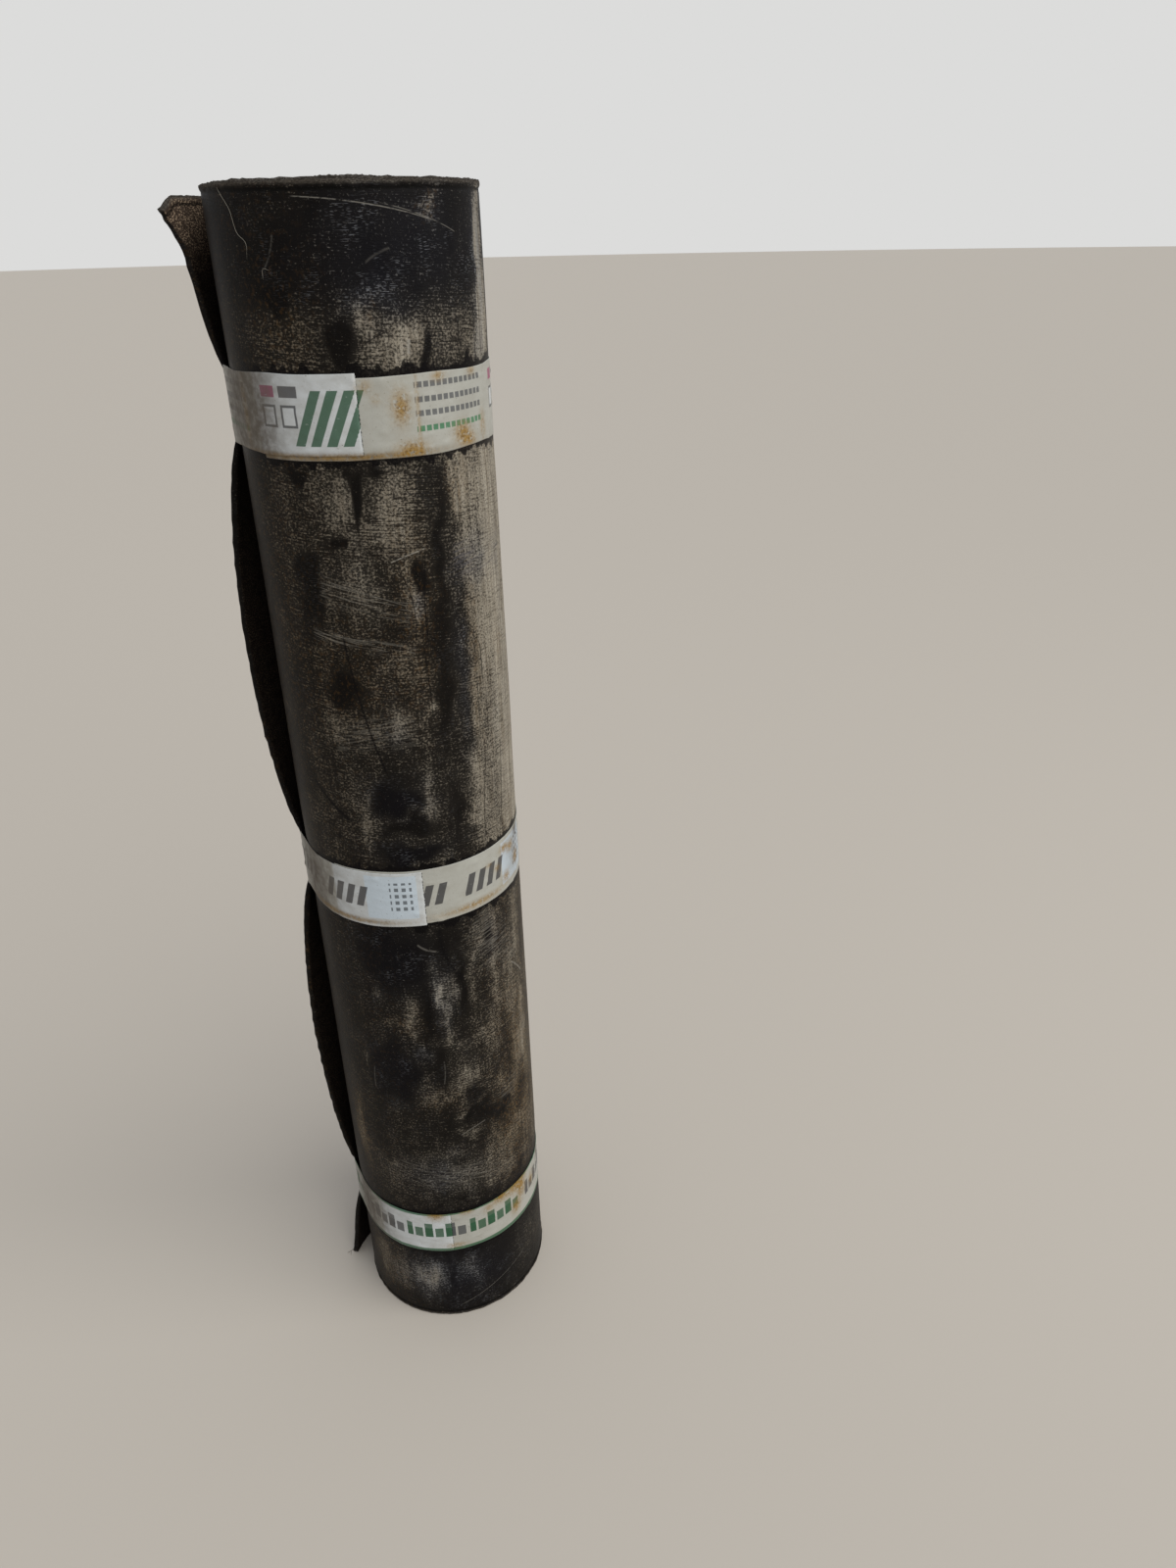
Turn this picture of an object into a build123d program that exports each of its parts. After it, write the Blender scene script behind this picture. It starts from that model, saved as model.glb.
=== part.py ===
from build123d import *

import math
import os

# A roll of torch-on roofing felt, standing on its end. Millimetres, +Z up, the bore's axis on Z,
# and the floor at Z = 0. Seen from above, the sheet is wound outwards counter-clockwise.

# The sheet, as it was made
sheet_length = 6000.0
sheet_width = 1000.0
sheet_thickness = 4.0

# The winding. Wound by hand or machine, every other turn rides a little higher than its
# neighbours, so that the turns show on both ends, and the innermost stands proud at the top.
bore_radius = 20.0
winding_air = 0.05
last_turn_slack = 0.3
turn_rise = 0.8
inner_turn_rise = 4.0
bore_climb_angle = 60.0
strip_margin_angle = 4.0

# The free end of the sheet, which springs away from the roll wherever no band holds it.
# A spring share is how much of the winding's curvature the sheet has lost there.
free_end_angle = 180.0
free_end_length = 80.0
lower_spring_share = 0.59
upper_spring_share = 0.63
foot_spring_share = 0.52
head_spring_share = 0.56
foot_curl_share = 0.22
head_curl_share = 0.32
curl_start_share = 0.7
bulge_power = 0.7
flare_power = 0.6
bulge_stations = 8
flare_stations = 5

# The tape bands round the roll, one near each end and one half-way
band_width = 50.0
foot_band_inset = 119.3
head_band_inset = 132.7
middle_band_shift = 2.3
band_film = 0.25
band_clearance = 0.15
band_lap_air = 0.1
band_start_angle = {"band_bottom": 220.0, "band_middle": 223.0, "band_top": 219.0}
band_end_angle = {"band_bottom": 267.0, "band_middle": 272.0, "band_top": 267.0}

# What follows from those sizes
pitch = sheet_thickness + winding_air
last_pitch = pitch + last_turn_slack
inner_mid_radius = bore_radius + sheet_thickness / 2
wound_length = sheet_length - free_end_length
outer_mid_radius = math.sqrt(inner_mid_radius**2 + wound_length * pitch / math.pi)
wound_turns = (outer_mid_radius - inner_mid_radius) / pitch
root_radius = outer_mid_radius + sheet_thickness / 2 + last_turn_slack
root_mid_radius = root_radius - sheet_thickness / 2
held_radius = root_radius + last_pitch / 4
root_angle = free_end_angle - math.degrees(
    free_end_length / (held_radius - sheet_thickness / 2)
)
inner_end_angle = root_angle - 360 * wound_turns
inner_turn = math.floor(wound_turns)
band_centres = {
    "band_bottom": foot_band_inset,
    "band_middle": sheet_width / 2 + middle_band_shift,
    "band_top": sheet_width - head_band_inset,
}


def along(angle, radius=1.0):
    """The point at an angle and a distance from the bore's axis."""
    return Vector(math.cos(math.radians(angle)), math.sin(math.radians(angle))) * radius


def from_centre(centre, angle, radius):
    """The point at an angle and a distance from an arc's own centre."""
    return centre + along(angle, radius)


def half_turn(outer_radius, turn_pitch, number):
    """Centre and radius of one half turn of the winding, counted inwards from the root.

    Half circles whose centres lie a quarter pitch either side of the axis join up into a spiral
    that grows by one pitch a turn."""
    side = 1 if number % 2 == 0 else -1
    centre = along(root_angle, side * turn_pitch / 4)
    return centre, outer_radius - turn_pitch / 4 - number * turn_pitch / 2


def roll_outline():
    """The outer turn, from the root of the free end back to the step that it makes there."""
    front_centre, front_radius = half_turn(root_radius, last_pitch, 0)
    back_centre, back_radius = half_turn(root_radius, last_pitch, 1)
    front = CenterArc(front_centre, front_radius, root_angle - 180, 180)
    back = CenterArc(back_centre, back_radius, root_angle - 360, 180)
    step = Line(along(root_angle, root_radius), along(root_angle, root_radius - last_pitch))
    return make_face([front, step, back])


def bore_outline():
    """The hole that the winding mandrel left: round, until the sheet climbs over its own start."""
    round_part = CenterArc((0, 0), bore_radius, inner_end_angle, 360 - bore_climb_angle)
    climb_angle = inner_end_angle - bore_climb_angle
    climb = TangentArc(
        along(climb_angle, bore_radius),
        along(inner_end_angle, bore_radius + pitch),
        tangent=along(climb_angle + 90),
    )
    cut_end = Line(
        along(inner_end_angle, bore_radius + pitch), along(inner_end_angle, bore_radius)
    )
    return make_face([round_part, climb, cut_end])


def seam(number, start, end):
    """The seam on the inside of one turn, from start to end in degrees back from the root.

    Turn 0 is the outer one, and each seam is two half turns of the spiral."""
    arcs = []
    for half, (low, high) in enumerate([(start, min(end, 180)), (180, end)]):
        if high > low:
            half_number = 2 * number + half
            centre, radius = half_turn(root_radius - last_pitch, pitch, half_number)
            arcs.append(CenterArc(centre, radius, root_angle - high, high - low))
    return arcs


def seam_sweep(number):
    """How far round a seam goes, in degrees: all round, or to the sheet's inner end."""
    return min(360, 360 * (wound_turns - 1 - number))


def turn_strip(number):
    """One turn as it shows on the roll's end, between its two seams."""
    end = seam_sweep(number) - strip_margin_angle
    outside = seam(number - 1, strip_margin_angle, end)
    inside = seam(number, strip_margin_angle, end)
    start_line = Line(outside[0] @ 1, inside[0] @ 1)
    end_line = Line(outside[-1] @ 0, inside[-1] @ 0)
    return make_face([*outside, *inside, start_line, end_line])


def inner_turn_outline():
    """The innermost turn, from its seam to the axis, as far as the sheet's inner end."""
    outside = seam(inner_turn - 1, 0, seam_sweep(inner_turn - 1))
    return make_face([*outside, Line(outside[0] @ 1, (0, 0)), Line((0, 0), outside[-1] @ 0)])


def wound_body():
    """All the turns but the free end, as one solid with its bore and its stepped ends."""
    body = extrude(roll_outline(), sheet_width)
    head = Pos(0, 0, sheet_width)
    for number in range(1, inner_turn, 2):
        strip = extrude(turn_strip(number), turn_rise)
        body -= strip
        body += head * strip
    body += head * extrude(inner_turn_outline(), inner_turn_rise)
    return body - extrude(bore_outline(), sheet_width + inner_turn_rise)


def free_end_section(height, spring_share):
    """The free end cut across at one height: one arc of sheet, tangent to the winding."""
    mid_radius = (held_radius - sheet_thickness / 2) / (1 - spring_share)
    sweep = math.degrees(free_end_length / mid_radius)
    centre = along(root_angle, root_mid_radius - mid_radius)
    outer = CenterArc(centre, mid_radius + sheet_thickness / 2, root_angle, sweep)
    inner = CenterArc(centre, mid_radius - sheet_thickness / 2, root_angle, sweep)
    root = Line(outer @ 0, inner @ 0)
    edge = Line(outer @ 1, inner @ 1)
    return Pos(0, 0, height) * make_face([outer, inner, root, edge])


def held_stretch(low, high):
    """The free end where a band holds it down on the roll."""
    return loft([free_end_section(low, 0), free_end_section(high, 0)])


def bulge(low, high, spring_share):
    """The free end between two bands: it springs open, most of all half-way."""
    sections = []
    for station in range(bulge_stations + 1):
        share = (1 - math.cos(math.pi * station / bulge_stations)) / 2
        opening = spring_share * math.sin(math.pi * share) ** bulge_power
        sections.append(free_end_section(low + (high - low) * share, opening))
    return loft(sections)


def flare(held, tip, spring_share, curl_share):
    """The free end from a band out to the roll's end, where its corner curls away."""
    sections = []
    for station in range(flare_stations + 1):
        share = (station / flare_stations) ** 1.5
        curl = max(0, (share - curl_start_share) / (1 - curl_start_share))
        opening = spring_share * share**flare_power + curl_share * curl**1.5
        sections.append(free_end_section(held + (tip - held) * share, opening))
    return loft(sections)


def free_end():
    """The whole free end, from the floor up, as pieces that meet face to face."""
    lows = {name: centre - band_width / 2 for name, centre in band_centres.items()}
    highs = {name: centre + band_width / 2 for name, centre in band_centres.items()}
    return [
        flare(lows["band_bottom"], 0, foot_spring_share, foot_curl_share),
        held_stretch(lows["band_bottom"], highs["band_bottom"]),
        bulge(highs["band_bottom"], lows["band_middle"], lower_spring_share),
        held_stretch(lows["band_middle"], highs["band_middle"]),
        bulge(highs["band_middle"], lows["band_top"], upper_spring_share),
        held_stretch(lows["band_top"], highs["band_top"]),
        flare(highs["band_top"], sheet_width, head_spring_share, head_curl_share),
    ]


def band_line(stand_off, start_angle, end_angle):
    """One face of a band: once round the roll, down off the free end and over its own start."""
    front_centre, front_radius = half_turn(root_radius, last_pitch, 0)
    back_centre, back_radius = half_turn(root_radius, last_pitch, 1)
    back = back_radius + stand_off
    lap = back + band_film + band_lap_air
    held = held_radius + stand_off
    landing = free_end_angle + math.degrees(math.acos(back / held))
    take_off = start_angle - math.degrees(math.acos(back / lap))
    under = start_angle - 360
    return [
        CenterArc(back_centre, back, under, root_angle - 180 - under),
        CenterArc(front_centre, front_radius + stand_off, root_angle - 180, 180),
        CenterArc(back_centre, held, root_angle, free_end_angle - root_angle),
        Line(
            from_centre(back_centre, free_end_angle, held),
            from_centre(back_centre, landing, back),
        ),
        CenterArc(back_centre, back, landing, take_off - landing),
        Line(
            from_centre(back_centre, take_off, back),
            from_centre(back_centre, start_angle, lap),
        ),
        CenterArc(back_centre, lap, start_angle, end_angle - start_angle),
    ]


def band(name):
    """A band of film tape, wound once round the roll and lapped over its own start."""
    ends = band_start_angle[name], band_end_angle[name]
    inside = band_line(band_clearance, *ends)
    outside = band_line(band_clearance + band_film, *ends)
    start = Line(inside[0] @ 0, outside[0] @ 0)
    end = Line(inside[-1] @ 1, outside[-1] @ 1)
    tape = make_face([*inside, *outside, start, end])
    return Pos(0, 0, band_centres[name] - band_width / 2) * extrude(tape, band_width)


felt_roll = wound_body().fuse(*free_end())
pieces = {"felt_roll": felt_roll, **{name: band(name) for name in band_centres}}

os.makedirs("parts", exist_ok=True)
for name, piece in pieces.items():
    piece.label = name
    export_step(piece, f"parts/{name}.step")

print("wound turns", round(wound_turns, 2), "root radius", round(root_radius, 2))
print("root angle", round(root_angle, 1), "inner end angle", round(inner_end_angle % 360, 1))
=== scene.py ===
# %% [markdown]
# # A roll of torch-on roofing felt
# The real thing is six metres of bitumen sheet, one metre wide and four millimetres thick. It is
# wound into a roll that stands on its end, and three bands of printed film tape hold it. Its
# outer end springs away from the roll wherever no band holds it down.
#
# The packed model gives the sizes and the places. This script works out the same winding again
# as a fine surface, and gives it the worn, dusty finish of felt that has stood outdoors.

# %% Load the frame
import math

import bmesh
import bpy
import numpy as np
from mathutils import Matrix, Vector


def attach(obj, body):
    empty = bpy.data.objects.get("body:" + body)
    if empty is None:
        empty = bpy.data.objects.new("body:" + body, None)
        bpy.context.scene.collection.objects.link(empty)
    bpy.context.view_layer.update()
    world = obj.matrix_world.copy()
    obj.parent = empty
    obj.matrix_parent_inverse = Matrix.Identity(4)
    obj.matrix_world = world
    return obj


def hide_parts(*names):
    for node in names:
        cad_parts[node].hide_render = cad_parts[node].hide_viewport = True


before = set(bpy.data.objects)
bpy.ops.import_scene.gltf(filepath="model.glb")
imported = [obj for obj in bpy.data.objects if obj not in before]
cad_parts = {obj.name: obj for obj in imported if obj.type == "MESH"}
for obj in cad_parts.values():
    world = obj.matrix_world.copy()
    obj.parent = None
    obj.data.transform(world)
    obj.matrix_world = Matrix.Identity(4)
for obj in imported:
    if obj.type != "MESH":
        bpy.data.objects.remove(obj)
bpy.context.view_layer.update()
print("pieces of the frame:", sorted(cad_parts))

# %% [markdown]
# ## The camera
# The photo is taken from about chest height, close to the roll, looking down. The roll's height
# is known, so the way that its outline narrows towards the floor gives the camera's place, its
# tilt and its focal length. The camera comes first.

# %% Make the camera
camera_place = (-0.0051, -0.8083, 0.9738)
camera_turn_right = math.radians(11.22)
camera_tilt_down = math.radians(27.80)
camera_lean = math.radians(1.24)
camera_lens = 24.424
film_height = 36.0


def turned(angle, axis):
    """The matrix that turns by an angle about one axis."""
    return Matrix.Rotation(angle, 4, axis)


camera_data = bpy.data.cameras.new("camera")
camera_data.lens = camera_lens
camera_data.sensor_width = film_height
camera_data.clip_end = 100.0
camera = bpy.data.objects.new("camera", camera_data)
bpy.context.scene.collection.objects.link(camera)
camera.matrix_world = (
    turned(-camera_turn_right, "Z")
    @ turned(math.pi / 2 - camera_tilt_down, "X")
    @ turned(-camera_lean, "Z")
)
camera.location = camera_place
bpy.context.scene.camera = camera
print("camera at", camera_place, "with a lens of", camera_lens, "mm")

# %% [markdown]
# ## Colours and nodes
# Every finish below is made of shader nodes. Two helpers keep that readable: one turns an sRGB
# hex colour, as a paint chart gives it, into Blender's linear values, and one adds a node with
# its settings and links.


# %% Helpers for colours and nodes
def linear(hex_colour):
    """An sRGB hex colour as linear red, green, blue and 1, with sRGB's curve undone."""
    srgb = np.array([int(hex_colour[i : i + 2], 16) for i in (1, 3, 5)]) / 255
    value = np.where(srgb <= 0.04045, srgb / 12.92, ((srgb + 0.055) / 1.055) ** 2.4)
    return (*value.tolist(), 1.0)


def add(tree, kind, sockets=(), **settings):
    """Adds one shader node and returns its first output in use.

    Settings come first, because they decide which sockets are in use. Sockets is a list for the
    inputs in use, in order, or a dictionary by name. A socket is linked, a value is set, and None
    leaves an input alone. An output node has nothing to return."""
    made = tree.nodes.new("ShaderNode" + kind)
    for name, value in settings.items():
        setattr(made, name, value)
    if isinstance(sockets, dict):
        pairs = [(made.inputs[name], value) for name, value in sockets.items()]
    else:
        pairs = zip([s for s in made.inputs if s.enabled], sockets)
    for socket, value in pairs:
        if isinstance(value, bpy.types.NodeSocket):
            tree.links.new(value, socket)
        elif value is not None:
            socket.default_value = value
    return next((s for s in made.outputs if s.enabled), None)


def new_material(name):
    """An empty material with its own node tree, and that tree."""
    material = bpy.data.materials.new(name)
    material.use_nodes = True
    material.node_tree.nodes.clear()
    return material, material.node_tree


def finish_material(tree, shader):
    """Links a shader to the material's output."""
    add(tree, "OutputMaterial", [shader])


print("black bitumen, for one, is", [round(v, 4) for v in linear("#17161A")])

# %% [markdown]
# ## Floor, sky and lamps
# The floor is plain and pale, and so large that its edge lies at the horizon. The light is that of
# an overcast day: a soft sky from all sides, and a broad, low sun behind thin cloud, from the front
# right, which leaves the left side of the roll in half shade. Felt is almost black, so the sky that
# lights it is kept darker than the pale one that the camera sees behind it.

# %% Make the floor, the sky and the lamps
sky_seen = "#DCDCDB"
sky_lighting = "#C3C5C8"
floor_colour = "#BDB6AD"
floor_radius = 40.0


def make_floor():
    """A flat disc at the height of the roll's foot."""
    corners = np.linspace(0, 2 * math.pi, 96, endpoint=False)
    rim = np.stack([np.cos(corners), np.sin(corners), 0 * corners], -1) * floor_radius
    mesh = bpy.data.meshes.new("floor")
    mesh.from_pydata(rim.tolist(), [], [list(range(len(rim)))])
    floor = bpy.data.objects.new("floor", mesh)
    bpy.context.scene.collection.objects.link(floor)
    material, tree = new_material("matt_studio_floor")
    paint = {"Base Color": linear(floor_colour), "Roughness": 0.9, "Specular IOR Level": 0.2}
    finish_material(tree, add(tree, "BsdfPrincipled", paint))
    mesh.materials.append(material)


def aim_lamp(name, kind, place, tint, energy, **settings):
    """A lamp of any kind that faces the middle of the roll."""
    data = bpy.data.lights.new(name, kind)
    data.energy = energy
    data.color = linear(tint)[:3]
    for setting, value in settings.items():
        setattr(data, setting, value)
    lamp = bpy.data.objects.new(name, data)
    bpy.context.scene.collection.objects.link(lamp)
    lamp.location = place
    aim = Vector((0, 0, 0.5)) - Vector(place)
    lamp.rotation_euler = aim.to_track_quat("-Z", "Y").to_euler()


def make_sky():
    """An even sky of one colour for its light, and a paler one where the camera sees it."""
    world = bpy.data.worlds.new("sky")
    world.use_nodes = True
    tree = world.node_tree
    tree.nodes.clear()
    lighting = add(tree, "Background", {"Color": linear(sky_lighting), "Strength": 1.0})
    seen = add(tree, "Background", {"Color": linear(sky_seen), "Strength": 1.0})
    rays = add(tree, "LightPath")
    add(tree, "OutputWorld", [add(tree, "MixShader", [rays, lighting, seen])])
    bpy.context.scene.world = world


make_floor()
make_sky()
aim_lamp("veiled_sun", "SUN", (1.6, -1.9, 2.7), "#FFFDF6", 1.9, angle=1.1)
aim_lamp("bright_cloud", "AREA", (2.4, -0.9, 1.3), "#FFFFFF", 8.0, size=1.2)
bpy.context.scene.view_settings.view_transform = "Standard"

# %% [markdown]
# ## Soft steps and ripples
# Worn things are uneven everywhere, but never by a straight line. Two functions give all the
# unevenness below: an S-shaped step, and ripples that add up waves of many directions. The
# ripples come from a seeded generator, so that every run makes the same roll.


# %% Soft steps and ripples
def smooth(x, low, high):
    """0 up to low, 1 from high on, and the S-shaped step 3t^2 - 2t^3 between them."""
    t = np.clip((x - low) / (high - low), 0, 1)
    return t * t * (3 - 2 * t)


def ripples(x, y, size, seed, count=28):
    """Uneven waves over two coordinates, mostly between -1 and 1.

    It is a sum of cosines. Each has a random direction, a random start, and a length from 0.6 to
    1.8 times the size given. The sum is divided by 1.6 times the square root of half their
    number, which keeps nearly all of it within 1."""
    random = np.random.default_rng(seed)
    total = 0.0 * (x + y)
    for _ in range(count):
        angle, start = random.uniform(0, 2 * math.pi, 2)
        wave = 2 * math.pi / (size * random.uniform(0.6, 1.8))
        total += np.cos(wave * (x * math.cos(angle) + y * math.sin(angle)) + start)
    return total / math.sqrt(count / 2) / 1.6


def spots(across, up, places, edge=2.0):
    """The sum of soft spots at each point of the unrolled face.

    A spot is (across, up, half width, half height, amount), in millimetres. It fades with
    exp(-distance^edge), so that a higher edge keeps it flat inside and quick at its rim."""
    total = 0.0 * across
    for x, y, half_width, half_height, amount in places:
        near = ((across * 1000 - x) / half_width) ** 2 + ((up * 1000 - y) / half_height) ** 2
        total += amount * np.exp(-(near ** (edge / 2)))
    return total


samples = np.linspace(0, 1, 2000)
print("ripples run from", ripples(samples, samples, 0.05, 1).min().round(2), "up")

# %% [markdown]
# ## A skin of grids
# The sheet is made of several grids: its long outer wall, the coils on its two ends and the wall
# of its bore. Blender could join separate objects, but seams would show as creases and the mesh
# would have holes. So the grids are collected first, their common points are welded by place,
# and one closed mesh is made from the result. The roll is wound a little tighter at its head than
# at its foot, so every skin is tapered alike at the end.


# %% A skin that welds grids into one mesh
class Skin:
    """Grids of points that share their borders, with values that each point carries."""

    weld_grain = 1e-6
    foot_width = 1.003
    head_width = 0.984

    def __init__(self):
        self.points = []
        self.values = []
        self.faces = []
        self.count = 0

    def grid(self, points, *values):
        """Takes points, rows by columns, with their values, and returns their numbers."""
        shape = points.shape[:-1]
        self.points.append(points.reshape(-1, 3))
        self.values.append(np.stack([np.broadcast_to(v, shape).ravel() for v in values], -1))
        numbers = self.count + np.arange(math.prod(shape)).reshape(shape)
        self.count += numbers.size
        return numbers

    def quads(self, numbers):
        """Fills a grid of numbers with four-cornered faces."""
        corners = [numbers[:-1, :-1], numbers[:-1, 1:], numbers[1:, 1:], numbers[1:, :-1]]
        self.polygons(np.stack(corners, -1).reshape(-1, 4))

    def polygons(self, corners):
        """Adds faces, one to a row of corner numbers."""
        self.faces.extend(np.asarray(corners).tolist())

    def make(self, name, labels):
        """Welds the points and makes the object.

        The first two values become the UV map named sheet, and labels names the rest, which
        become attributes of the points. A face that loses corners in the weld keeps the others,
        and one with fewer than three left is dropped."""
        points = np.concatenate(self.points)
        values = np.concatenate(self.values)
        points[:, :2] *= self.foot_width + (self.head_width - self.foot_width) * points[:, 2:]
        grains = np.round(points / self.weld_grain).astype(np.int64)
        kept, welded = np.unique(grains, axis=0, return_index=True, return_inverse=True)[1:]
        welded = welded.ravel()
        rings = [list(dict.fromkeys(welded[face].tolist())) for face in self.faces]
        pairs = [(ring, face) for ring, face in zip(rings, self.faces) if len(ring) > 2]
        mesh = bpy.data.meshes.new(name)
        mesh.from_pydata(points[kept].tolist(), [], [ring for ring, _ in pairs])
        corners = [
            face if len(ring) == len(face) else [face[welded[face].tolist().index(v)] for v in ring]
            for ring, face in pairs
        ]
        flat = np.array([corner for face in corners for corner in face])
        layer = mesh.uv_layers.new(name="sheet")
        layer.uv.foreach_set("vector", values[flat, :2].astype(np.float32).ravel())
        for number, label in enumerate(labels, 2):
            self.attach(mesh, label, values[kept, number])
        mesh.shade_smooth()
        made = bpy.data.objects.new(name, mesh)
        bpy.context.scene.collection.objects.link(made)
        return made, values[kept]

    @staticmethod
    def attach(mesh, label, numbers):
        """Stores one number for each point under a name that a material can read."""
        attribute = mesh.attributes.new(label, "FLOAT", "POINT")
        attribute.data.foreach_set("value", np.asarray(numbers, np.float32))


def point_outwards(thing):
    """Turns every face of a closed mesh outwards, and says how many edges are open."""
    shell = bmesh.new()
    shell.from_mesh(thing.data)
    bmesh.ops.recalc_face_normals(shell, faces=shell.faces)
    open_edges = sum(not edge.is_manifold for edge in shell.edges)
    shell.to_mesh(thing.data)
    volume = shell.calc_volume()
    shell.free()
    print(thing.name, "open edges:", open_edges, "volume in litres:", round(volume * 1000, 3))


print("a skin welds points closer than", Skin.weld_grain, "m")

# %% [markdown]
# ## The winding
# A sheet wound on a mandrel is a spiral. Half circles whose centres lie a quarter pitch either
# side of the axis join up smoothly and grow by one pitch a turn, which is how the packed model is
# made too, so the same numbers are used here. Near the bore the sheet first lies round on the
# mandrel and then climbs over its own start in one bump, which fades from turn to turn outwards.

# %% Sizes of the sheet and its winding, in metres and degrees
sheet_width = 1.0
sheet_length = 6.0
thickness = 0.004
bore_radius = 0.020
winding_air = 0.00005
last_turn_slack = 0.0003
pitch = thickness + winding_air
last_pitch = pitch + last_turn_slack
free_length = 0.080
free_end_angle = 180.0
coarse_step = 3.0
fine_step = 1.5
climb_angle = 60.0
bump_turns = 3.0

inner_middle = bore_radius + thickness / 2
outer_middle = math.sqrt(inner_middle**2 + (sheet_length - free_length) * pitch / math.pi)
root_radius = outer_middle + thickness / 2 + last_turn_slack
root_middle = root_radius - thickness / 2
held_radius = root_radius + last_pitch / 4
root_angle = free_end_angle - math.degrees(free_length / (held_radius - thickness / 2))
turns = (outer_middle - inner_middle) / pitch
wound = coarse_step * round(360 * turns / coarse_step)
print("turns:", round(turns, 2), "root radius:", round(root_radius, 4), "at", round(root_angle, 1))


# %% The winding as a function
def run_length(line):
    """The distance run along a line at each of its points, from 0 at the first."""
    steps = np.linalg.norm(np.diff(line, axis=0), axis=-1)
    return np.concatenate([[0], np.cumsum(steps)])


def heading(degrees):
    """Unit vectors in the ground plane at these angles, with x and y last."""
    angle = np.radians(degrees)
    return np.stack([np.cos(angle), np.sin(angle)], -1)


def winding(back):
    """The sheet's outer face, so many degrees back from the root of the free end.

    Half turn n has the radius start - step/4 - n*step/2 about a centre a quarter step to one side
    or the other. The bump is the climb's S-shaped step less an even climb, and fades with
    exp(-turns from the bore / bump_turns). Returns places and outward directions."""
    back = np.asarray(back, float)
    in_outer_turn = back < 360
    step = np.where(in_outer_turn, last_pitch, pitch)
    start = np.where(in_outer_turn, root_radius, root_radius - last_pitch)
    half = np.floor((back - np.where(in_outer_turn, 0, 360)) / 180)
    side = 1 - 2 * (half % 2)
    from_start = wound + 360 - back
    part = from_start % 360
    bump = smooth(part, 360 - climb_angle, 360) - part / 360
    bump *= np.exp(-np.maximum(from_start - 360, 0) / 360 / bump_turns)
    radius = start - step / 4 - half * step / 2 + pitch * bump
    outwards = heading(root_angle - back)
    centre = (side * step / 4)[..., None] * heading(root_angle)
    return centre + radius[..., None] * outwards, outwards


bore_line = winding(np.linspace(wound, wound + 360, 121))[0]
print("bore radius:", np.linalg.norm(bore_line, axis=-1).round(4)[[0, 60, 119]])

# %% [markdown]
# ## The free end
# Under a band the free end lies on the roll. Between two bands it springs away, most of all half
# way, and towards the roll's ends it flares and its corners curl. At each height its section is
# one arc, tangent to the winding at the root. The share of its curvature that the sheet has lost
# there sets that arc's radius. Its head has slipped down past the turn under it, and the corner
# was knocked and droops.

# %% Sizes of the free end
band_width = 0.050
band_centres = {"band_bottom": 0.1193, "band_middle": 0.5023, "band_top": 0.8673}
spring_shares = {"foot": 0.52, "lower": 0.59, "upper": 0.63, "head": 0.56}
curl_shares = {"foot": 0.06, "head": 0.32}
curl_start = 0.7
head_drop = 0.0052
slip_run = (0.004, 0.045)
slip_height = 0.1
corner_reach = 0.002
droop = 0.0068
droop_run = 0.010
droop_height = 0.045


# %% The free end as a function
def spring_share(height):
    """The share of its curvature that the sheet has lost, at each height.

    A bulge between bands is share * sin(pi t)^0.7, and a flare is share * t^0.6 with a curl of
    ((t - 0.7) / 0.3)^1.5 added, where t runs from the band to the sheet's edge."""
    middles = list(band_centres.values())
    lows = [z - band_width / 2 for z in middles]
    highs = [z + band_width / 2 for z in middles]
    total = 0.0 * height
    for low, high, share in (
        (highs[0], lows[1], spring_shares["lower"]),
        (highs[1], lows[2], spring_shares["upper"]),
    ):
        t = np.clip((height - low) / (high - low), 0, 1)
        total += share * np.abs(np.sin(math.pi * t)) ** 0.7
    for end, low, high in (("foot", lows[0], 0.0), ("head", highs[2], sheet_width)):
        t = np.clip((height - low) / (high - low), 0, 1)
        curl = np.clip((t - curl_start) / (1 - curl_start), 0, 1)
        total += spring_shares[end] * t**0.6 + curl_shares[end] * curl**1.5
    return total


def free_end(run, height, depth):
    """The free end at a run from its root, a height, and a depth below its outer face.

    The arc's middle radius is the held one divided by the curvature that is left, and its centre
    lies on the root's own radius. Returns places and outward directions."""
    middle = (held_radius - thickness / 2) / (1 - spring_share(height))
    outwards = heading(root_angle + np.degrees(run / middle))
    centre = (root_middle - middle)[..., None] * heading(root_angle)
    return centre + (middle + thickness / 2 - depth)[..., None] * outwards, outwards


def slip(run, height):
    """How far the head of the free end has slipped down, and its knocked corner further."""
    slipped = smooth(run, *slip_run) * smooth(height, sheet_width - slip_height, sheet_width)
    knocked = smooth(run, free_length - droop_run, free_length)
    knocked = knocked * smooth(height, sheet_width - droop_height, sheet_width)
    return head_drop * slipped + droop * knocked


print("half-way between the upper bands it has lost", spring_share(np.array([0.685])).round(2))

# %% [markdown]
# ## Unevenness of the sheet
# The outer turn is never a perfect cylinder. It has shallow swells between the bands, which pull
# it flat, and its cut edges are mushroomed: the knife and years of standing have swollen the
# bitumen into a lip, with a crease under it. Something has pressed a long dent into the front. The
# ends of the turns stand a little higher or lower than their neighbours, and the innermost turn
# stands proud.

# %% Unevenness as functions
lip_height = 0.0020
lip_width = 0.0022
lip_swell = 0.0006
crease_height = 0.0052
crease_width = 0.0010
crease_depth = 0.00035
swell = 0.0005
edge_round = 0.0012
turn_rise = 0.0008
inner_turn_rise = 0.004
inner_turn_back = 360 * 16
dent_depth = 0.0013
dent_along = 0.011
dent_height = 0.393
dent_half_height = 0.055
dent_half_width = 0.0070
dent_bow = 0.007


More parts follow.
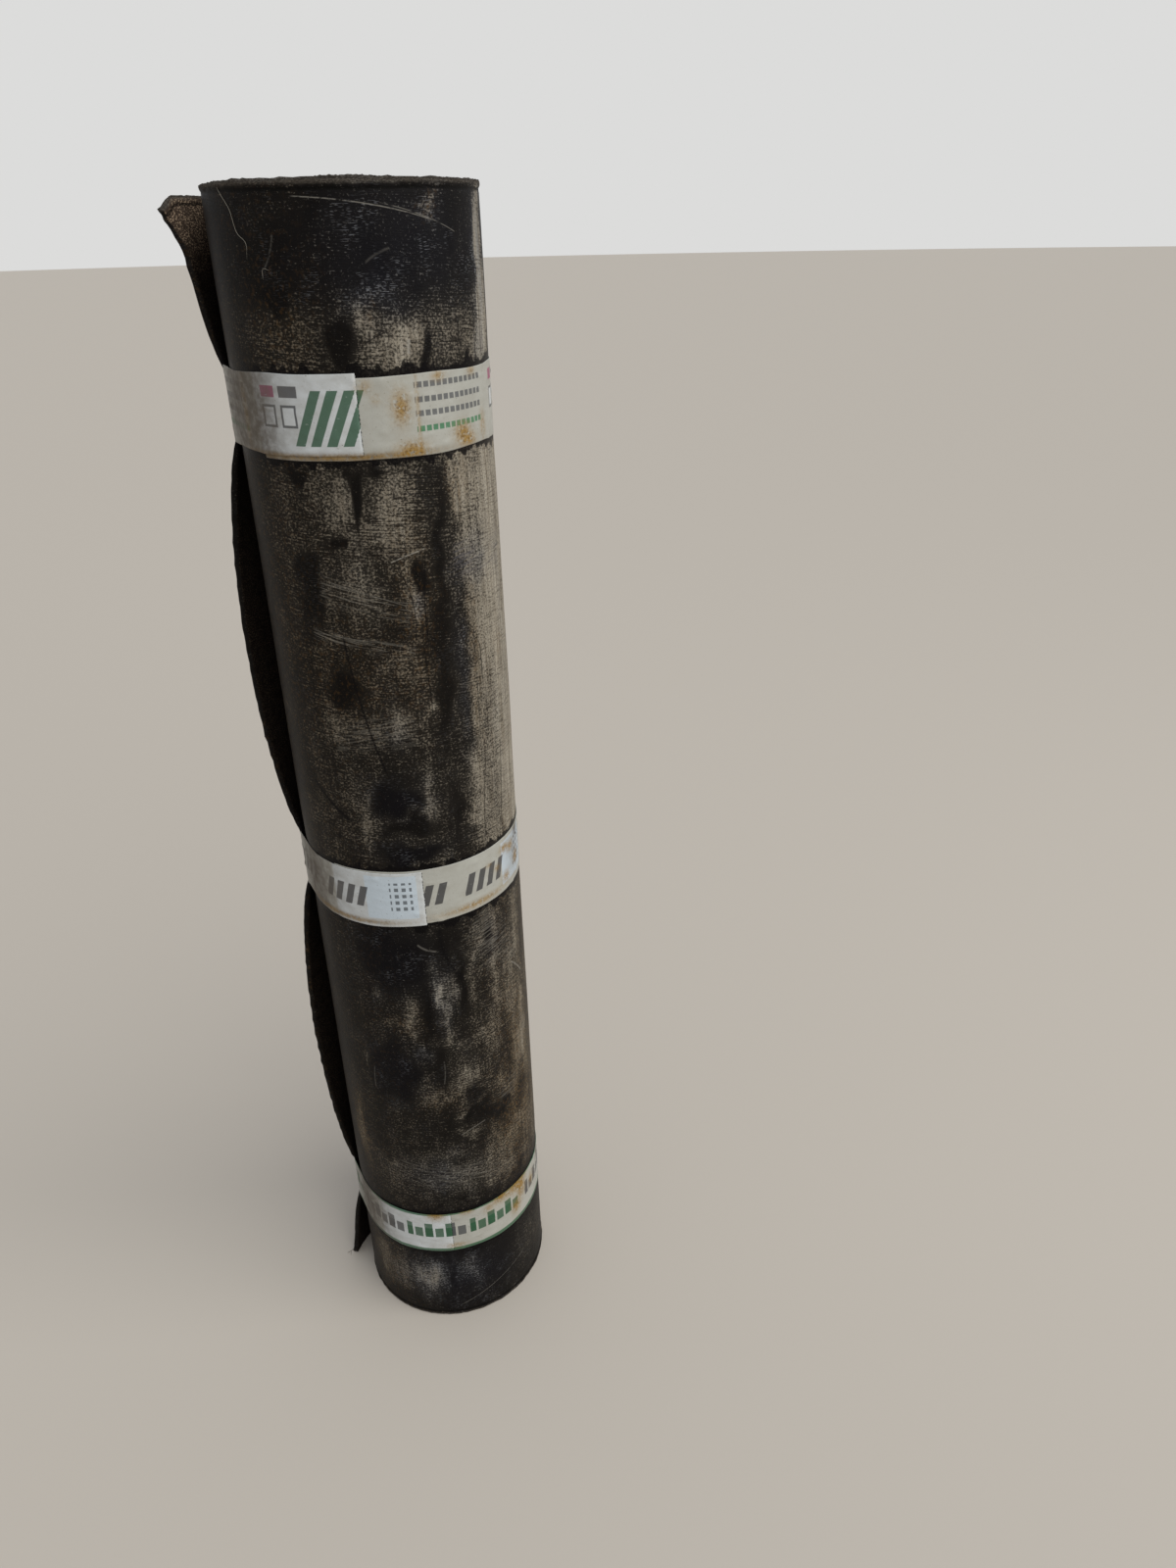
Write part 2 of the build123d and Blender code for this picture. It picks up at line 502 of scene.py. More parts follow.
def near_band(height):
    """1 under a band and for a few millimetres beside it, and 0 away from bands."""
    gaps = [np.abs(height - middle) - band_width / 2 for middle in band_centres.values()]
    return 1 - smooth(np.min(gaps, axis=0), 0.002, 0.030)


def dent(along, height):
    """A long dent that something pressed into the front, as a depth.

    It is depth * exp(-(u / half width)^2 - (v / half height)^4), where v is the height over its
    middle and u the distance from a bowed line."""
    over = (height - dent_height) / dent_half_height
    aside = (along - dent_along + dent_bow * over**2) / dent_half_width
    return dent_depth * np.exp(-(aside**2) - over**4)


def unevenness(along, height):
    """How far the sheet's outer face stands out from the even winding.

    The lip and the crease are bumps of exp(-(distance / width)^2) over the distance from the
    sheet's edge, and both wander along it. The swells fade out under the bands."""
    swells = ripples(along, height * 0.5, 0.11, 3) * 0.7 + ripples(along, height, 0.02, 4) * 0.12
    from_end = np.minimum(height, sheet_width - height)
    wander = 1 + 0.5 * ripples(along, height * 0, 0.012, 5)
    lip = lip_swell * wander * np.exp(-(((from_end - lip_height) / lip_width) ** 2))
    crease = crease_depth * wander * np.exp(-(((from_end - crease_height) / crease_width) ** 2))
    return swell * (swells + 1) / 2 * (1 - near_band(height)) + lip - crease - dent(along, height)


def raggedness(along, seed):
    """How far the cut edge wanders up and down: a torn fringe on top of a slow wave."""
    waves = ((0.004, 0.00028), (0.0095, 0.00022), (0.12, 0.0003))
    return sum(
        ripples(along, along * 0, size, seed + number) * height
        for number, (size, height) in enumerate(waves)
    )


def rise(back):
    """How far the end of each turn stands above the outer one, going in along the sheet."""
    turn = back / 360
    wave = (1 - np.cos(math.pi * np.maximum(turn - 1, 0))) / 2
    proud = smooth(back, inner_turn_back - 40, inner_turn_back + 20)
    return turn_rise * wave + (inner_turn_rise - turn_rise) * proud


print("the lip swells by", lip_swell * 1000, "mm")

# %% [markdown]
# ## The long wall
# One closed grid runs round the outside: from the bottom of the nip, where the free end lifts off
# the roll, once round the outer turn, on over the free end's outer face, round its cut edge and
# back along its inner face into the nip. Rows are closer together near the sheet's two edges.

# %% Rows and stations
end_rows = np.array([0.0, 0.0010, 0.0022, 0.0036, 0.0050, 0.0062, 0.0076, 0.0100, 0.0140])
row_spacing = 0.0056
low_rows = edge_round + end_rows
middle_rows = np.linspace(
    low_rows[-1], sheet_width - low_rows[-1], round((sheet_width - 2 * low_rows[-1]) / row_spacing)
)
heights = np.concatenate([low_rows[:-1], middle_rows, sheet_width - low_rows[-2::-1]])
fine_backs = np.linspace(360, 0, round(360 / fine_step) + 1)
free_runs = np.linspace(0, free_length, 34)[1:]
face_radius = 0.0914


def along_at(back):
    """Distance along the unrolled outer face, from the front, which is at 270 degrees."""
    return face_radius * np.radians(root_angle - back + 90)


def free_depth(run):
    """The free end's thickness, which grows at the root until it closes the nip."""
    return thickness + (last_pitch - thickness) * np.exp(-run / 0.003)


def stand_at(along, height):
    """The real height of a row: near the sheet's two ends it follows the ragged edge."""
    head = raggedness(along, 21) * smooth(height, sheet_width - 0.012, sheet_width)
    foot = np.abs(raggedness(along, 31)) * (1 - smooth(height, 0, 0.010))
    return height + head + foot


def outer_wall(back, height):
    """The outer turn's face, uneven, as points in space."""
    along = along_at(back)
    place, outwards = winding(back)
    place = place + unevenness(along, height)[..., None] * outwards
    return np.concatenate([place, stand_at(along, height)[..., None]], -1)


def free_wall(run, height, inner):
    """The free end's outer or inner face, uneven, as points in space.

    Its cut edge is ragged, its head reaches a little further out, and near the root its outer
    face takes over the outer turn's unevenness."""
    along = along_at(0) + run
    ragged = 0.0006 * ripples(height, run * 0, 0.008, 41)
    ragged = ragged + 0.0003 * ripples(height, run * 0, 0.0035, 42)
    reach = run + ragged * smooth(run, free_length - 0.012, free_length)
    reach = reach + corner_reach * smooth(run, 0.04, free_length) * smooth(height, 0.93, 1.0)
    place, outwards = free_end(reach, height, inner * free_depth(run))
    lip = unevenness(along, height) * smooth(run, 0, 0.006)
    base = unevenness(along_at(0) + 0 * run, height) * (1 - smooth(run, 0, 0.006)) * (1 - inner)
    place = place + ((1 - 2 * inner) * lip + base)[..., None] * outwards
    stand = stand_at(along, height) - slip(run, height)
    return np.concatenate([place, stand[..., None]], -1)


def cut_edge(height, share, bulge):
    """Points on the rounded cut edge, a share of the way from the outer to the inner face.

    They bulge ahead, which is the way that the last millimetre of the outer face runs."""
    run = free_length + 0 * height
    outer = free_wall(run, height, 0)
    inner = free_wall(run, height, 1)
    ahead = outer - free_wall(run - 0.001, height, 0)
    ahead /= np.linalg.norm(ahead, axis=-1, keepdims=True)
    return outer + (inner - outer) * share + ahead * bulge


edge_shares = np.array([0.12, 0.5, 0.88])
edge_bulges = (0.0007, 0.0010, 0.0007)
felt = Skin()
rows = heights[:, None]
wound_part = outer_wall(fine_backs[None, :], rows)
outer_part = free_wall(free_runs[None, :], rows, 0)
inner_part = free_wall(free_runs[None, ::-1], rows, 1)
edge_part = np.stack([cut_edge(heights, s, b) for s, b in zip(edge_shares, edge_bulges)], 1)
wall_points = np.concatenate([wound_part, outer_part, edge_part, inner_part], 1)
wall_along = np.concatenate(
    [
        along_at(fine_backs),
        along_at(0) + free_runs,
        along_at(0) + free_length + thickness * edge_shares,
        along_at(0) + 2 * free_length + thickness - free_runs[::-1],
    ]
)
wall_inner = (np.arange(len(wall_along)) >= len(wall_along) - len(free_runs)) * 1.0
wall_cut = 1 - smooth(np.minimum(rows, sheet_width - rows), 0.0008, 0.0036)
wall = felt.grid(wall_points, wall_along[None, :], rows, wall_inner[None, :], wall_cut)
felt.quads(np.column_stack([wall, wall[:, 0]]))
print("the wall has", wall.shape, "points")

# %% [markdown]
# ## The coils on the two ends
# The end of a roll shows every turn as a ridge with a dark groove beside it. A ribbon follows the
# sheet inwards and carries a profile from groove to groove. The groove inside one turn is the
# groove outside the next one, so neighbours share their points and the end is closed. The outer
# turn is as finely divided as the wall. The rest has half as many stations, and five-cornered
# faces at the bottom of the first groove lead from one to the other.

# %% Make the coils
profile_shares = np.array([0.08, 0.27, 0.5, 0.73, 0.92])
profile_drops = np.array([0.00045, 0.00008, 0.00022, 0.0, 0.00045])
groove_depth = 0.0034


def groove_height(back):
    """How far below the sheet's end the line between two turns lies, going in along the sheet."""
    deep = smooth(back, 360, 390) * (1 - smooth(back, wound, wound + 20))
    return edge_round + (groove_depth - edge_round) * deep


def line_between(back, head):
    """The line between two turns: at the outer wall, in the grooves and round the bore."""
    along = along_at(back)
    place = winding(back)[0]
    outer = back <= 360
    height = sheet_width - edge_round if head else edge_round
    on_wall = outer_wall(back, np.full_like(along, height))
    lifted = rise(back - 360) * smooth(back, wound, wound + 20)
    from_end = groove_height(back) - (lifted if head else 0)
    stand = sheet_width - from_end if head else from_end
    return np.where(outer[:, None], on_wall, np.column_stack([place, stand]))


def ridge(outside, inside, along, lift, head):
    """Points across one turn's end, between the lines outside and inside it."""
    place = outside[:, None, :2] + (inside - outside)[:, None, :2] * profile_shares[None, :, None]
    fringe = raggedness(along[:, None] + 0.3 * profile_shares, 51)
    tuft = ripples(along[:, None], profile_shares[None, :] * 0.004, 0.0035, 52) * 0.00025
    if head:
        stand = sheet_width + lift[:, None] - profile_drops + fringe + tuft
    else:
        stand = lift[:, None] * 0.5 + profile_drops + np.abs(fringe + tuft)
    return np.concatenate([place, stand[..., None]], -1)


def outer_turn_end(head, height, end_v):
    """The end of the free end and of the outer turn. Returns its line in the first groove."""
    runs = free_runs[::-1]
    fine = fine_backs[::-1]
    flat = np.full(len(runs), height)
    free_outside = free_wall(runs, flat, 0)
    free_inside = free_wall(runs, flat, 1)
    outside = np.concatenate([free_outside, line_between(fine, head)])
    inside = np.concatenate([free_inside, line_between(fine + 360, head)])
    along = np.concatenate([along_at(0) + runs, along_at(fine)])
    across = ridge(outside, inside, along, np.zeros(len(along)), head)
    across[: len(runs), :, 2] -= slip(runs, flat)[:, None]
    outer_ridge = felt.grid(across, along[:, None], end_v + thickness * profile_shares, 0, 1)
    rim = felt.grid(outside[:, None], along[:, None], height, 0, 1)
    felt.quads(np.column_stack([rim, outer_ridge]))
    free_rim = felt.grid(free_inside[:, None], along[: len(runs), None], height, 0, 1)
    last = len(runs)
    root_line = felt.grid(inside[last : last + 1, None], along[last : last + 1, None], height, 0, 1)
    lip = np.concatenate([free_rim, root_line])
    felt.quads(np.column_stack([outer_ridge[: last + 1, -1], lip]))
    row = -1 if head else 0
    corner = wall[row, len(fine_backs) + len(free_runs) - 1 :][: len(edge_shares) + 2]
    felt.polygons([[rim[0, 0], *outer_ridge[0], lip[0, 0], *corner[-2:0:-1]]])
    return outer_ridge[last:, -1]


def coil(head):
    """All the turns on one end of the sheet. Returns the points round the bore."""
    height = sheet_width - edge_round if head else edge_round
    end_v = sheet_width if head else 0
    whole_turn = round(360 / coarse_step)
    fine_line = outer_turn_end(head, height, end_v)
    coarse = np.arange(360, wound + 1, coarse_step)
    outside = line_between(coarse, head)
    inside = line_between(coarse + 360, head)
    along = along_at(360) - run_length(outside[:, :2])
    across = ridge(outside, inside, along, rise(coarse), head)
    shares = np.concatenate([[0], profile_shares, [1]])
    points = np.concatenate([outside[:, None], across, inside[:, None]], 1)
    ring = felt.grid(points, along[:, None], end_v + thickness * shares, 0, 1)
    felt.quads(ring)
    groove = ring[: whole_turn + 1, 0]
    five = [groove[:-1], groove[1:], fine_line[2::2], fine_line[1::2], fine_line[:-2:2]]
    felt.polygons(np.column_stack(five))
    return np.concatenate([points[-whole_turn - 1 :, -1], points[-1, -2:0:-1]])


head_loop = coil(True)
foot_loop = coil(False)
print("each coil has", len(np.arange(360, wound + 1, coarse_step)), "stations past the outer turn")

# %% [markdown]
# ## The bore
# The mandrel left an open bore. Its wall is the inner face of the first turn, with the step of
# the sheet's cut end in it. A few rows are enough, because the wall is straight from end to end.

# %% Make the bore's wall and the felt object
bore_rows = 9
levels = np.linspace(0, 1, bore_rows)[:, None, None]
bore_points = foot_loop[None] * (1 - levels) + head_loop[None] * levels
bore_cut = np.isin(levels[..., 0], (0, 1)) * 1.0
bore_along = run_length(head_loop[:, :2])
bore = felt.grid(bore_points, bore_along[None, :], bore_points[..., 2], 1, bore_cut)
felt.quads(np.column_stack([bore, bore[:, 0]]))
felt_sheet, felt_values = felt.make("felt_sheet", ["sanded", "cut"])
point_outwards(felt_sheet)
triangles = sum(len(p.vertices) - 2 for p in felt_sheet.data.polygons)
print("the sheet has", triangles, "triangles")
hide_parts("felt_roll")
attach(felt_sheet, "root")

# %% [markdown]
# ## The tape bands
# Each band is a strip of printed film, wound once round the roll: over the outer turn, over the
# free end, down off its edge, and over its own start. Its line is arcs about the same two centres
# as the winding, with short straight stretches between them.

# %% Sizes of the bands
film = 0.00025
clearance = 0.00015
lap_air = 0.0001
band_starts = {"band_bottom": 220.0, "band_middle": 223.0, "band_top": 219.0}
band_ends = {"band_bottom": 267.0, "band_middle": 272.0, "band_top": 267.0}
band_drift = {"band_bottom": 0.0005, "band_middle": -0.0008, "band_top": 0.0016}
across_rows = 76
along_spacing = 0.0022


# %% The bands' line and their mesh
def band_line(start, end):
    """The middle of the film, as even stations along it with their outward directions.

    Arcs are sampled and joined by straight lines, and the whole is then divided evenly by its
    own length."""
    middle = clearance + film / 2
    back_centre = -last_pitch / 4 * heading(root_angle)
    front_centre = last_pitch / 4 * heading(root_angle)
    back = root_radius - last_pitch * 3 / 4 + middle
    front = root_radius - last_pitch / 4 + middle
    held = held_radius + middle
    lap = back + film + lap_air
    landing = free_end_angle + math.degrees(math.acos(back / held))
    take_off = start - math.degrees(math.acos(back / lap))
    arcs = (
        (back_centre, back, start - 360, root_angle - 180),
        (front_centre, front, root_angle - 180, root_angle),
        (back_centre, held, root_angle, free_end_angle),
        (back_centre, back, landing, take_off),
        (back_centre, lap, start, end),
    )
    angles = [np.arange(first, last, 0.5) for _, _, first, last in arcs]
    places = [c + r * heading(a) for (c, r, _, _), a in zip(arcs, angles)]
    line = np.concatenate(places)
    facing = np.concatenate([heading(a) for a in angles])
    length = run_length(line)
    stations = np.linspace(0, length[-1], round(length[-1] / along_spacing))
    even = np.stack([np.interp(stations, length, line[:, i]) for i in (0, 1)], -1)
    facing = np.stack([np.interp(stations, length, facing[:, i]) for i in (0, 1)], -1)
    return even, facing / np.linalg.norm(facing, axis=-1, keepdims=True), stations


def on_both_faces(values):
    """Values for the rows of the outer face, and then for the two rows of the inner face."""
    return np.concatenate([values, values[:, [-1, 0]]], 1)


def make_band(name, seed):
    """One band as a closed film: a fine outer face, and a plain inner one.

    The outer face has wrinkles of max(0, ripples)^2, its cut ends have saw teeth, and its long
    edges wave a little. Where the film lies under its own lap, it stays flat."""
    line, facing, stations = band_line(band_starts[name], band_ends[name])
    total = stations[-1]
    share = np.linspace(0, 1, across_rows)
    up = (share - 0.5) * band_width
    along = stations[:, None] + 0 * up
    drift = band_drift[name] * (2 * along / total - 1)
    height = band_centres[name] + up + drift
    edge_wave = ripples(along, 0 * along, 0.05, seed) * 0.00035
    height = height + edge_wave * np.abs(2 * share - 1) ** 2 * np.sign(share - 0.5)
    teeth = 0.0007 * (2 * np.abs((up / 0.0026) % 1 - 0.5) - 0.5)
    cut = smooth(along, total - 0.006, total) - (1 - smooth(along, 0, 0.006))
    crumple = ripples(along, height * 1.3, 0.013, seed + 1)
    pucker = ripples(along * 0.35, height, 0.009, seed + 2)
    wrinkle = 0.00022 * np.maximum(crumple, 0) ** 2 + 0.00010 * np.maximum(pucker, 0) ** 2
    shift = teeth * cut
    lap = face_radius * math.radians(band_ends[name] - band_starts[name])
    wrinkle = np.where(along < lap + 0.001, np.minimum(wrinkle, lap_air * 0.5), wrinkle)
    tangent = np.stack([-facing[:, 1], facing[:, 0]], -1)
    outer = line[:, None] + facing[:, None] * (film / 2 + wrinkle)[..., None]
    inner = line[:, None] - facing[:, None] * film / 2
    inner = np.repeat(inner, 2, axis=1)
    place = np.concatenate([outer, inner], 1)
    place = place + tangent[:, None] * on_both_faces(shift)[..., None]
    points = np.concatenate([place, on_both_faces(height)[..., None]], -1)
    doubled = smooth(along, total - lap - 0.001, total - lap + 0.001)
    strip = Skin()
    numbers = strip.grid(points, *(on_both_faces(v) for v in (along, height, doubled)))
    strip.quads(np.column_stack([numbers, numbers[:, 0]]))
    strip.polygons([numbers[0], numbers[-1][::-1]])
    made, values = strip.make("tape_" + name, ["doubled"])
    point_outwards(made)
    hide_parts(name)
    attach(made, "root")
    return made, values


bands = {name: make_band(name, 100 + 10 * number) for number, name in enumerate(band_centres)}
print("bands:", [made.name for made, _ in bands.values()])

# %% [markdown]
# ## Where the felt is dusty, bare, brown or painted with sheen
# The roll lay and stood outdoors for a long time. Pale dust has settled on it, rain and hands
# have wiped parts of it bare again, and rust has tinted others. A blue-grey painted sheen stands
# for the sky's reflection on the glossy bitumen. The large patches are placed where the photo
# shows them, and only the shader breaks them up. Around the back, where no photo shows anything,
# slow ripples place them.

# %% Patches as numbers on the felt's points
dust_and_highlight_spots = (
    (18, 908, 20, 17, 0.37), (33, 914, 8, 14, 0.18), (2, 922, 4, 8, 0.18), (12, 936, 14, 9, 0.18),
    (68, 915, 22, 22, 0.10), (88, 905, 12, 14, 0.20), (54, 985, 6, 7, 0.35),
    # The spot at 110, 950 is painted sheen along the right-hand outline near the head, not dust.
    (-50, 912, 22, 18, 0.08), (110, 950, 9, 60, 1.10), (-32, 818, 14, 22, 0.24),
    (10, 815, 22, 24, 0.28), (2, 790, 30, 7, 0.14), (62, 820, 14, 20, 0.12),
    (-70, 810, 14, 18, 0.08), (-20, 765, 22, 20, 0.06), (15, 752, 10, 24, 0.14),
    (5, 697, 22, 7, 0.12), (-40, 650, 24, 9, 0.12), (5, 650, 16, 12, 0.20),
    (-45, 606, 16, 34, 0.04), (-18, 750, 26, 24, 0.09), (15, 590, 5, 22, 0.22),
    (22, 577, 6, 7, 0.16), (-35, 560, 5, 16, 0.16), (-80, 560, 25, 30, 0.05),
    (54, 602, 6, 14, 0.22), (54, 560, 6, 14, 0.22), (25, 657, 4, 4, 0.48), (95, 740, 16, 80, 0.18),
    # The spots at -22, 382 and -18, 363 are a painted highlight, as on a lifted flap, not dust.
    (-47, 410, 5, 8, 0.30), (-22, 382, 7, 14, 0.36), (-40, 375, 8, 6, 0.26), (-18, 363, 3, 4, 0.40),
    # The spots at 11, 408, at 10, 385 and at 8, 354 are the painted highlight inside the long dent.
    (0, 434, 7, 5, 0.26), (11, 408, 8, 13, 0.44), (10, 385, 6, 22, 0.34), (8, 354, 5, 13, 0.26),
    (45, 452, 5, 22, 0.28), (64, 455, 10, 26, 0.18), (38, 405, 7, 50, 0.20), (60, 395, 9, 62, 0.17),
    (80, 385, 9, 60, 0.22), (94, 430, 8, 46, 0.14), (23, 310, 12, 26, 0.29), (48, 325, 9, 44, 0.18),
    (-5, 290, 18, 12, 0.24), (36, 345, 16, 8, 0.22), (84, 315, 9, 52, 0.20), (98, 320, 7, 60, 0.24),
    (57, 280, 8, 9, 0.18), (66, 264, 11, 6, 0.24), (25, 243, 15, 4, 0.32), (14, 265, 4, 8, 0.20),
    (72, 215, 30, 22, 0.24), (30, 190, 28, 22, 0.20), (60, 172, 34, 10, 0.18),
    (-20, 215, 26, 26, 0.14), (-14, 182, 34, 16, 0.14), (-60, 190, 24, 34, 0.10),
    (-72, 330, 5, 9, 0.28), (-13, 345, 6, 9, 0.28), (-95, 230, 12, 42, 0.34),
    (-34, 57, 22, 22, 0.46), (-76, 55, 24, 36, 0.30), (5, 72, 10, 16, 0.24), (12, 50, 7, 10, 0.12),
    (50, 50, 40, 40, 0.07), (-95, 50, 14, 40, 0.22), (85, 50, 24, 35, 0.14),
    (-50, 30, 30, 10, 0.12),
)
bare_spots = (
    (-12, 912, 8, 16, 1.0), (43, 903, 5, 13, 1.0), (-55, 938, 8, 9, 0.8), (70, 970, 8, 18, 0.5),
    (20, 962, 50, 22, 0.3), (-62, 955, 26, 26, 0.5), (-54, 832, 8, 8, 1.0), (0, 837, 9, 4, 0.9),
    (-14, 815, 3.2, 26, 0.95), (-57, 757, 11, 22, 0.9), (-30, 785, 12, 3, 0.9),
    (-60, 725, 14, 20, 0.4), (25, 764, 4, 7, 0.9), (28, 755, 3, 10, 0.7), (42, 812, 8, 30, 0.40),
    (41, 770, 7, 28, 0.64), (38, 715, 8, 36, 0.60), (35, 655, 7, 34, 0.62), (36, 575, 7, 36, 0.58),
    (51, 665, 6, 44, 0.3), (-42, 680, 20, 13, 0.75), (-82, 680, 12, 30, 0.4),
    (-8, 590, 21, 14, 1.0), (-4, 567, 25, 6, 0.85), (-3, 543, 28, 10, 1.0), (-5, 612, 16, 8, 0.4),
    (-65, 557, 3, 4, 0.9), (-38, 560, 3, 3, 0.9), (88, 545, 9, 8, 0.4), (-32, 442, 34, 36, 0.85),
    (-42, 322, 24, 34, 0.9), (14, 455, 10, 12, 0.5), (26, 412, 6, 38, 0.75), (-4, 385, 5, 26, 0.8),
    (0, 326, 7, 22, 0.5), (55, 447, 5, 8, 0.95), (68, 438, 10, 12, 0.4), (24, 262, 9, 7, 1.0),
    (42, 262, 12, 9, 0.8), (58, 250, 14, 7, 0.8), (32, 286, 12, 9, 0.6), (-62, 270, 18, 40, 0.3),
    (-18, 155, 8, 6, 0.9), (7, 155, 7, 6, 0.9), (78, 163, 7, 7, 0.7), (45, 158, 8, 4, 0.6),
    (45, 60, 34, 42, 0.5), (-12, 91, 44, 5, 0.7), (-6, 36, 12, 26, 0.35), (-8, 64, 3, 24, 0.6),
)
brown_spots = (
    (-50, 925, 22, 30, 0.35), (18, 735, 16, 60, 0.6), (-30, 690, 40, 40, 0.4),
    (102, 693, 10, 12, 0.9), (-95, 232, 10, 40, 1.0), (0, 285, 18, 16, 0.4), (85, 230, 34, 60, 0.8),
    (66, 690, 7, 70, 0.6), (54, 985, 6, 6, 0.7), (8, 925, 6, 14, 0.4), (-90, 720, 20, 100, 0.3),
    (88, 330, 20, 50, 0.5), (-30, 375, 24, 14, 0.4), (62, 820, 12, 20, 0.5), (95, 545, 10, 20, 0.3),
    (-85, 50, 26, 40, 0.5),
)
# These spots are painted sheen: a blue-grey reflection of the sky on glossy bare bitumen, in the
# dent and along the right-hand outline.
painted_sheen_spots = (
    (35, 965, 66, 34, 0.9), (82, 765, 18, 18, 0.8), (22, 748, 4, 8, 0.7), (52, 680, 6, 60, 0.6),
    (-5, 645, 9, 10, 0.5), (-13, 345, 7, 10, 0.9), (10, 400, 8, 30, 0.7), (-12, 195, 34, 18, 0.6),
    (-8, 590, 22, 16, 0.7), (-3, 543, 28, 10, 0.7), (-30, 440, 34, 36, 0.7),
    (-42, 322, 24, 34, 0.7), (60, 442, 15, 20, 0.4), (98, 905, 10, 12, 0.6),
    (108, 950, 12, 60, 1.0), (12, 936, 14, 12, 0.8), (110, 740, 8, 120, 0.5),
    (-30, 55, 40, 34, 0.9), (20, 55, 40, 40, 0.7),
)


def seen_dust(across, up, warped, lifted, lower):
    """Dust on the side that the photo shows.

    The zones between the bands are dustier than the ends. Inner and outer step up to the dustiest
    strips, on the right, where the weather reaches them."""
    upper = smooth(up, 0.51, 0.54) * (1 - smooth(up, 0.92, 0.95))
    dust = 0.10 + 0.17 * upper + 0.08 * lower + 0.05 * ripples(warped, lifted * 0.5, 0.030, 64)
    shifted = warped - 0.004 * smooth(up, 0.57, 0.63) * (1 - smooth(up, 0.75, 0.80))
    inner, outer = smooth(shifted, 0.050, 0.062), smooth(warped, 0.080, 0.108)
    dust = dust + (0.30 * inner + 0.34 * outer) * upper * (1 - 0.9 * smooth(up, 0.85, 0.89))
    dust = dust + (0.08 * inner + 0.14 * outer) * lower
    # Painted shade: the leftmost strip of the upper part gets less dust, which darkens the left
    # outline.
    dust = dust - 0.08 * (1 - smooth(across, -0.095, -0.075)) * smooth(up, 0.30, 0.60)
    return dust + spots(warped, lifted, dust_and_highlight_spots)


def unseen_dust(across, warped, lifted, slow):
    """Dust round the back, thickest just past the right-hand edge of what the photo shows."""
    beside = smooth(across, 0.10, 0.13) * (1 - smooth(across, 0.13, 0.20))
    return 0.25 + 0.10 * slow + 0.35 * beside + 0.08 * ripples(warped, lifted * 0.3, 0.020, 65)


def paint_felt(thing, values):
    """Gives each point of the felt its dust, bareness, brown and painted sheen.

    Seen fades to 0 round the back. The places of the patches are warped by ripples, so that none
    has an even outline. The edges of the sheet are dusty, and past its cut end there is little."""
    across, up, sanded = values[:, 0], values[:, 1], values[:, 2]
    seen = 1 - smooth(np.abs(across), 0.115, 0.150)
    slow = ripples(across, up * 0.5, 0.07, 61)
    warped = across + 0.0035 * ripples(across, up * 0.6, 0.022, 62)
    lifted = up + 0.0060 * ripples(across * 1.5, up, 0.035, 63)
    lower = smooth(up, 0.13, 0.17) * (1 - smooth(up, 0.51, 0.54))
    dust = seen_dust(across, up, warped, lifted, lower) * seen
    dust = dust + unseen_dust(across, warped, lifted, slow) * (1 - seen)
    from_end = np.minimum(up, sheet_width - up)
    dust = np.maximum(dust, 0.40 * (1 - smooth(from_end, 0.0015, 0.0040)))
    past_edge = smooth(across, along_at(0) + free_length - 0.0015, along_at(0) + free_length)
    dust = dust * (1 - 0.8 * past_edge)
    bare = spots(warped, lifted, bare_spots, 3.2) * seen
    Skin.attach(thing.data, "dust", np.clip(dust, 0, 1) * (1 - 0.3 * sanded))
    Skin.attach(thing.data, "bare", np.clip(bare, 0, 1))
    brown = spots(warped, lifted, brown_spots) * seen + 0.3 * (slow > 0.7) * (1 - seen)
    brown = brown + 0.3 * smooth(across, 0.02, 0.07) * lower
    Skin.attach(thing.data, "brown", np.clip(brown + 0.25 * (1 - smooth(across, -0.08, 0)), 0, 1))
    # Painted sheen: where the glossy black gets a blue-grey reflection of the sky.
    Skin.attach(thing.data, "painted_sheen", np.clip(spots(warped, lifted, painted_sheen_spots) * seen, 0, 1))
    print("mean dust:", dust.mean().round(3), "mean bareness:", bare.mean().round(3))


paint_felt(felt_sheet, felt_values)

# %% [markdown]
# ## Patterns for the shaders
# Each pattern works in real sizes. Uneven spots are noise, stretched so that they are so many
# metres wide and high, and cut between two levels. A stroke is a scratch or a smear: the distance
# from a bowed line, cut at a width, and broken up along its length.


# %% Patterns
def map_place(tree):
    """The unrolled place, as a vector and as its two parts."""
    place = add(tree, "UVMap", uv_map="sheet")
    parts = add(tree, "SeparateXYZ", [place]).node.outputs
    return place, parts["X"], parts["Y"]


def uneven(tree, place, wide, high, low, top, detail=2.0, shift=0.0, tilt=0.0):
    """Uneven spots of a real size: 0 where the noise is under low and 1 where it is over top."""
    if tilt:
        place = add(tree, "Mapping", [place, None, (0, 0, -tilt)])
    sized = add(tree, "Mapping", [place, (shift, shift, shift), None, (1 / wide, 1 / high, 1)])
    inputs = {"Vector": sized, "Scale": 1.0, "Detail": detail, "Roughness": 0.6}
    noise = add(tree, "TexNoise", inputs)
    return add(tree, "MapRange", [noise, low, top], interpolation_type="SMOOTHSTEP")


def product(tree, *factors):
    """All the factors multiplied, and the result kept between 0 and 1."""
    total = factors[0]
    for factor in factors[1:]:
        total = add(tree, "Math", [total, factor], operation="MULTIPLY", use_clamp=True)
    return total


def weighted(tree, *pairs):
    """The sum of values, each times its weight."""
    total = 0.0
    for value, weight in pairs:
        total = add(tree, "Math", [value, weight, total], operation="MULTIPLY_ADD")
    return total


def layered(tree, colour, *layers):
    """A colour with others laid over it in turn. Each layer is an amount and its colour.

    Hex colours are turned into linear ones."""
    for amount, over in layers:
        under, over = (linear(c) if isinstance(c, str) else c for c in (colour, over))
        colour = add(tree, "Mix", [amount, under, over], data_type="RGBA")
    return colour


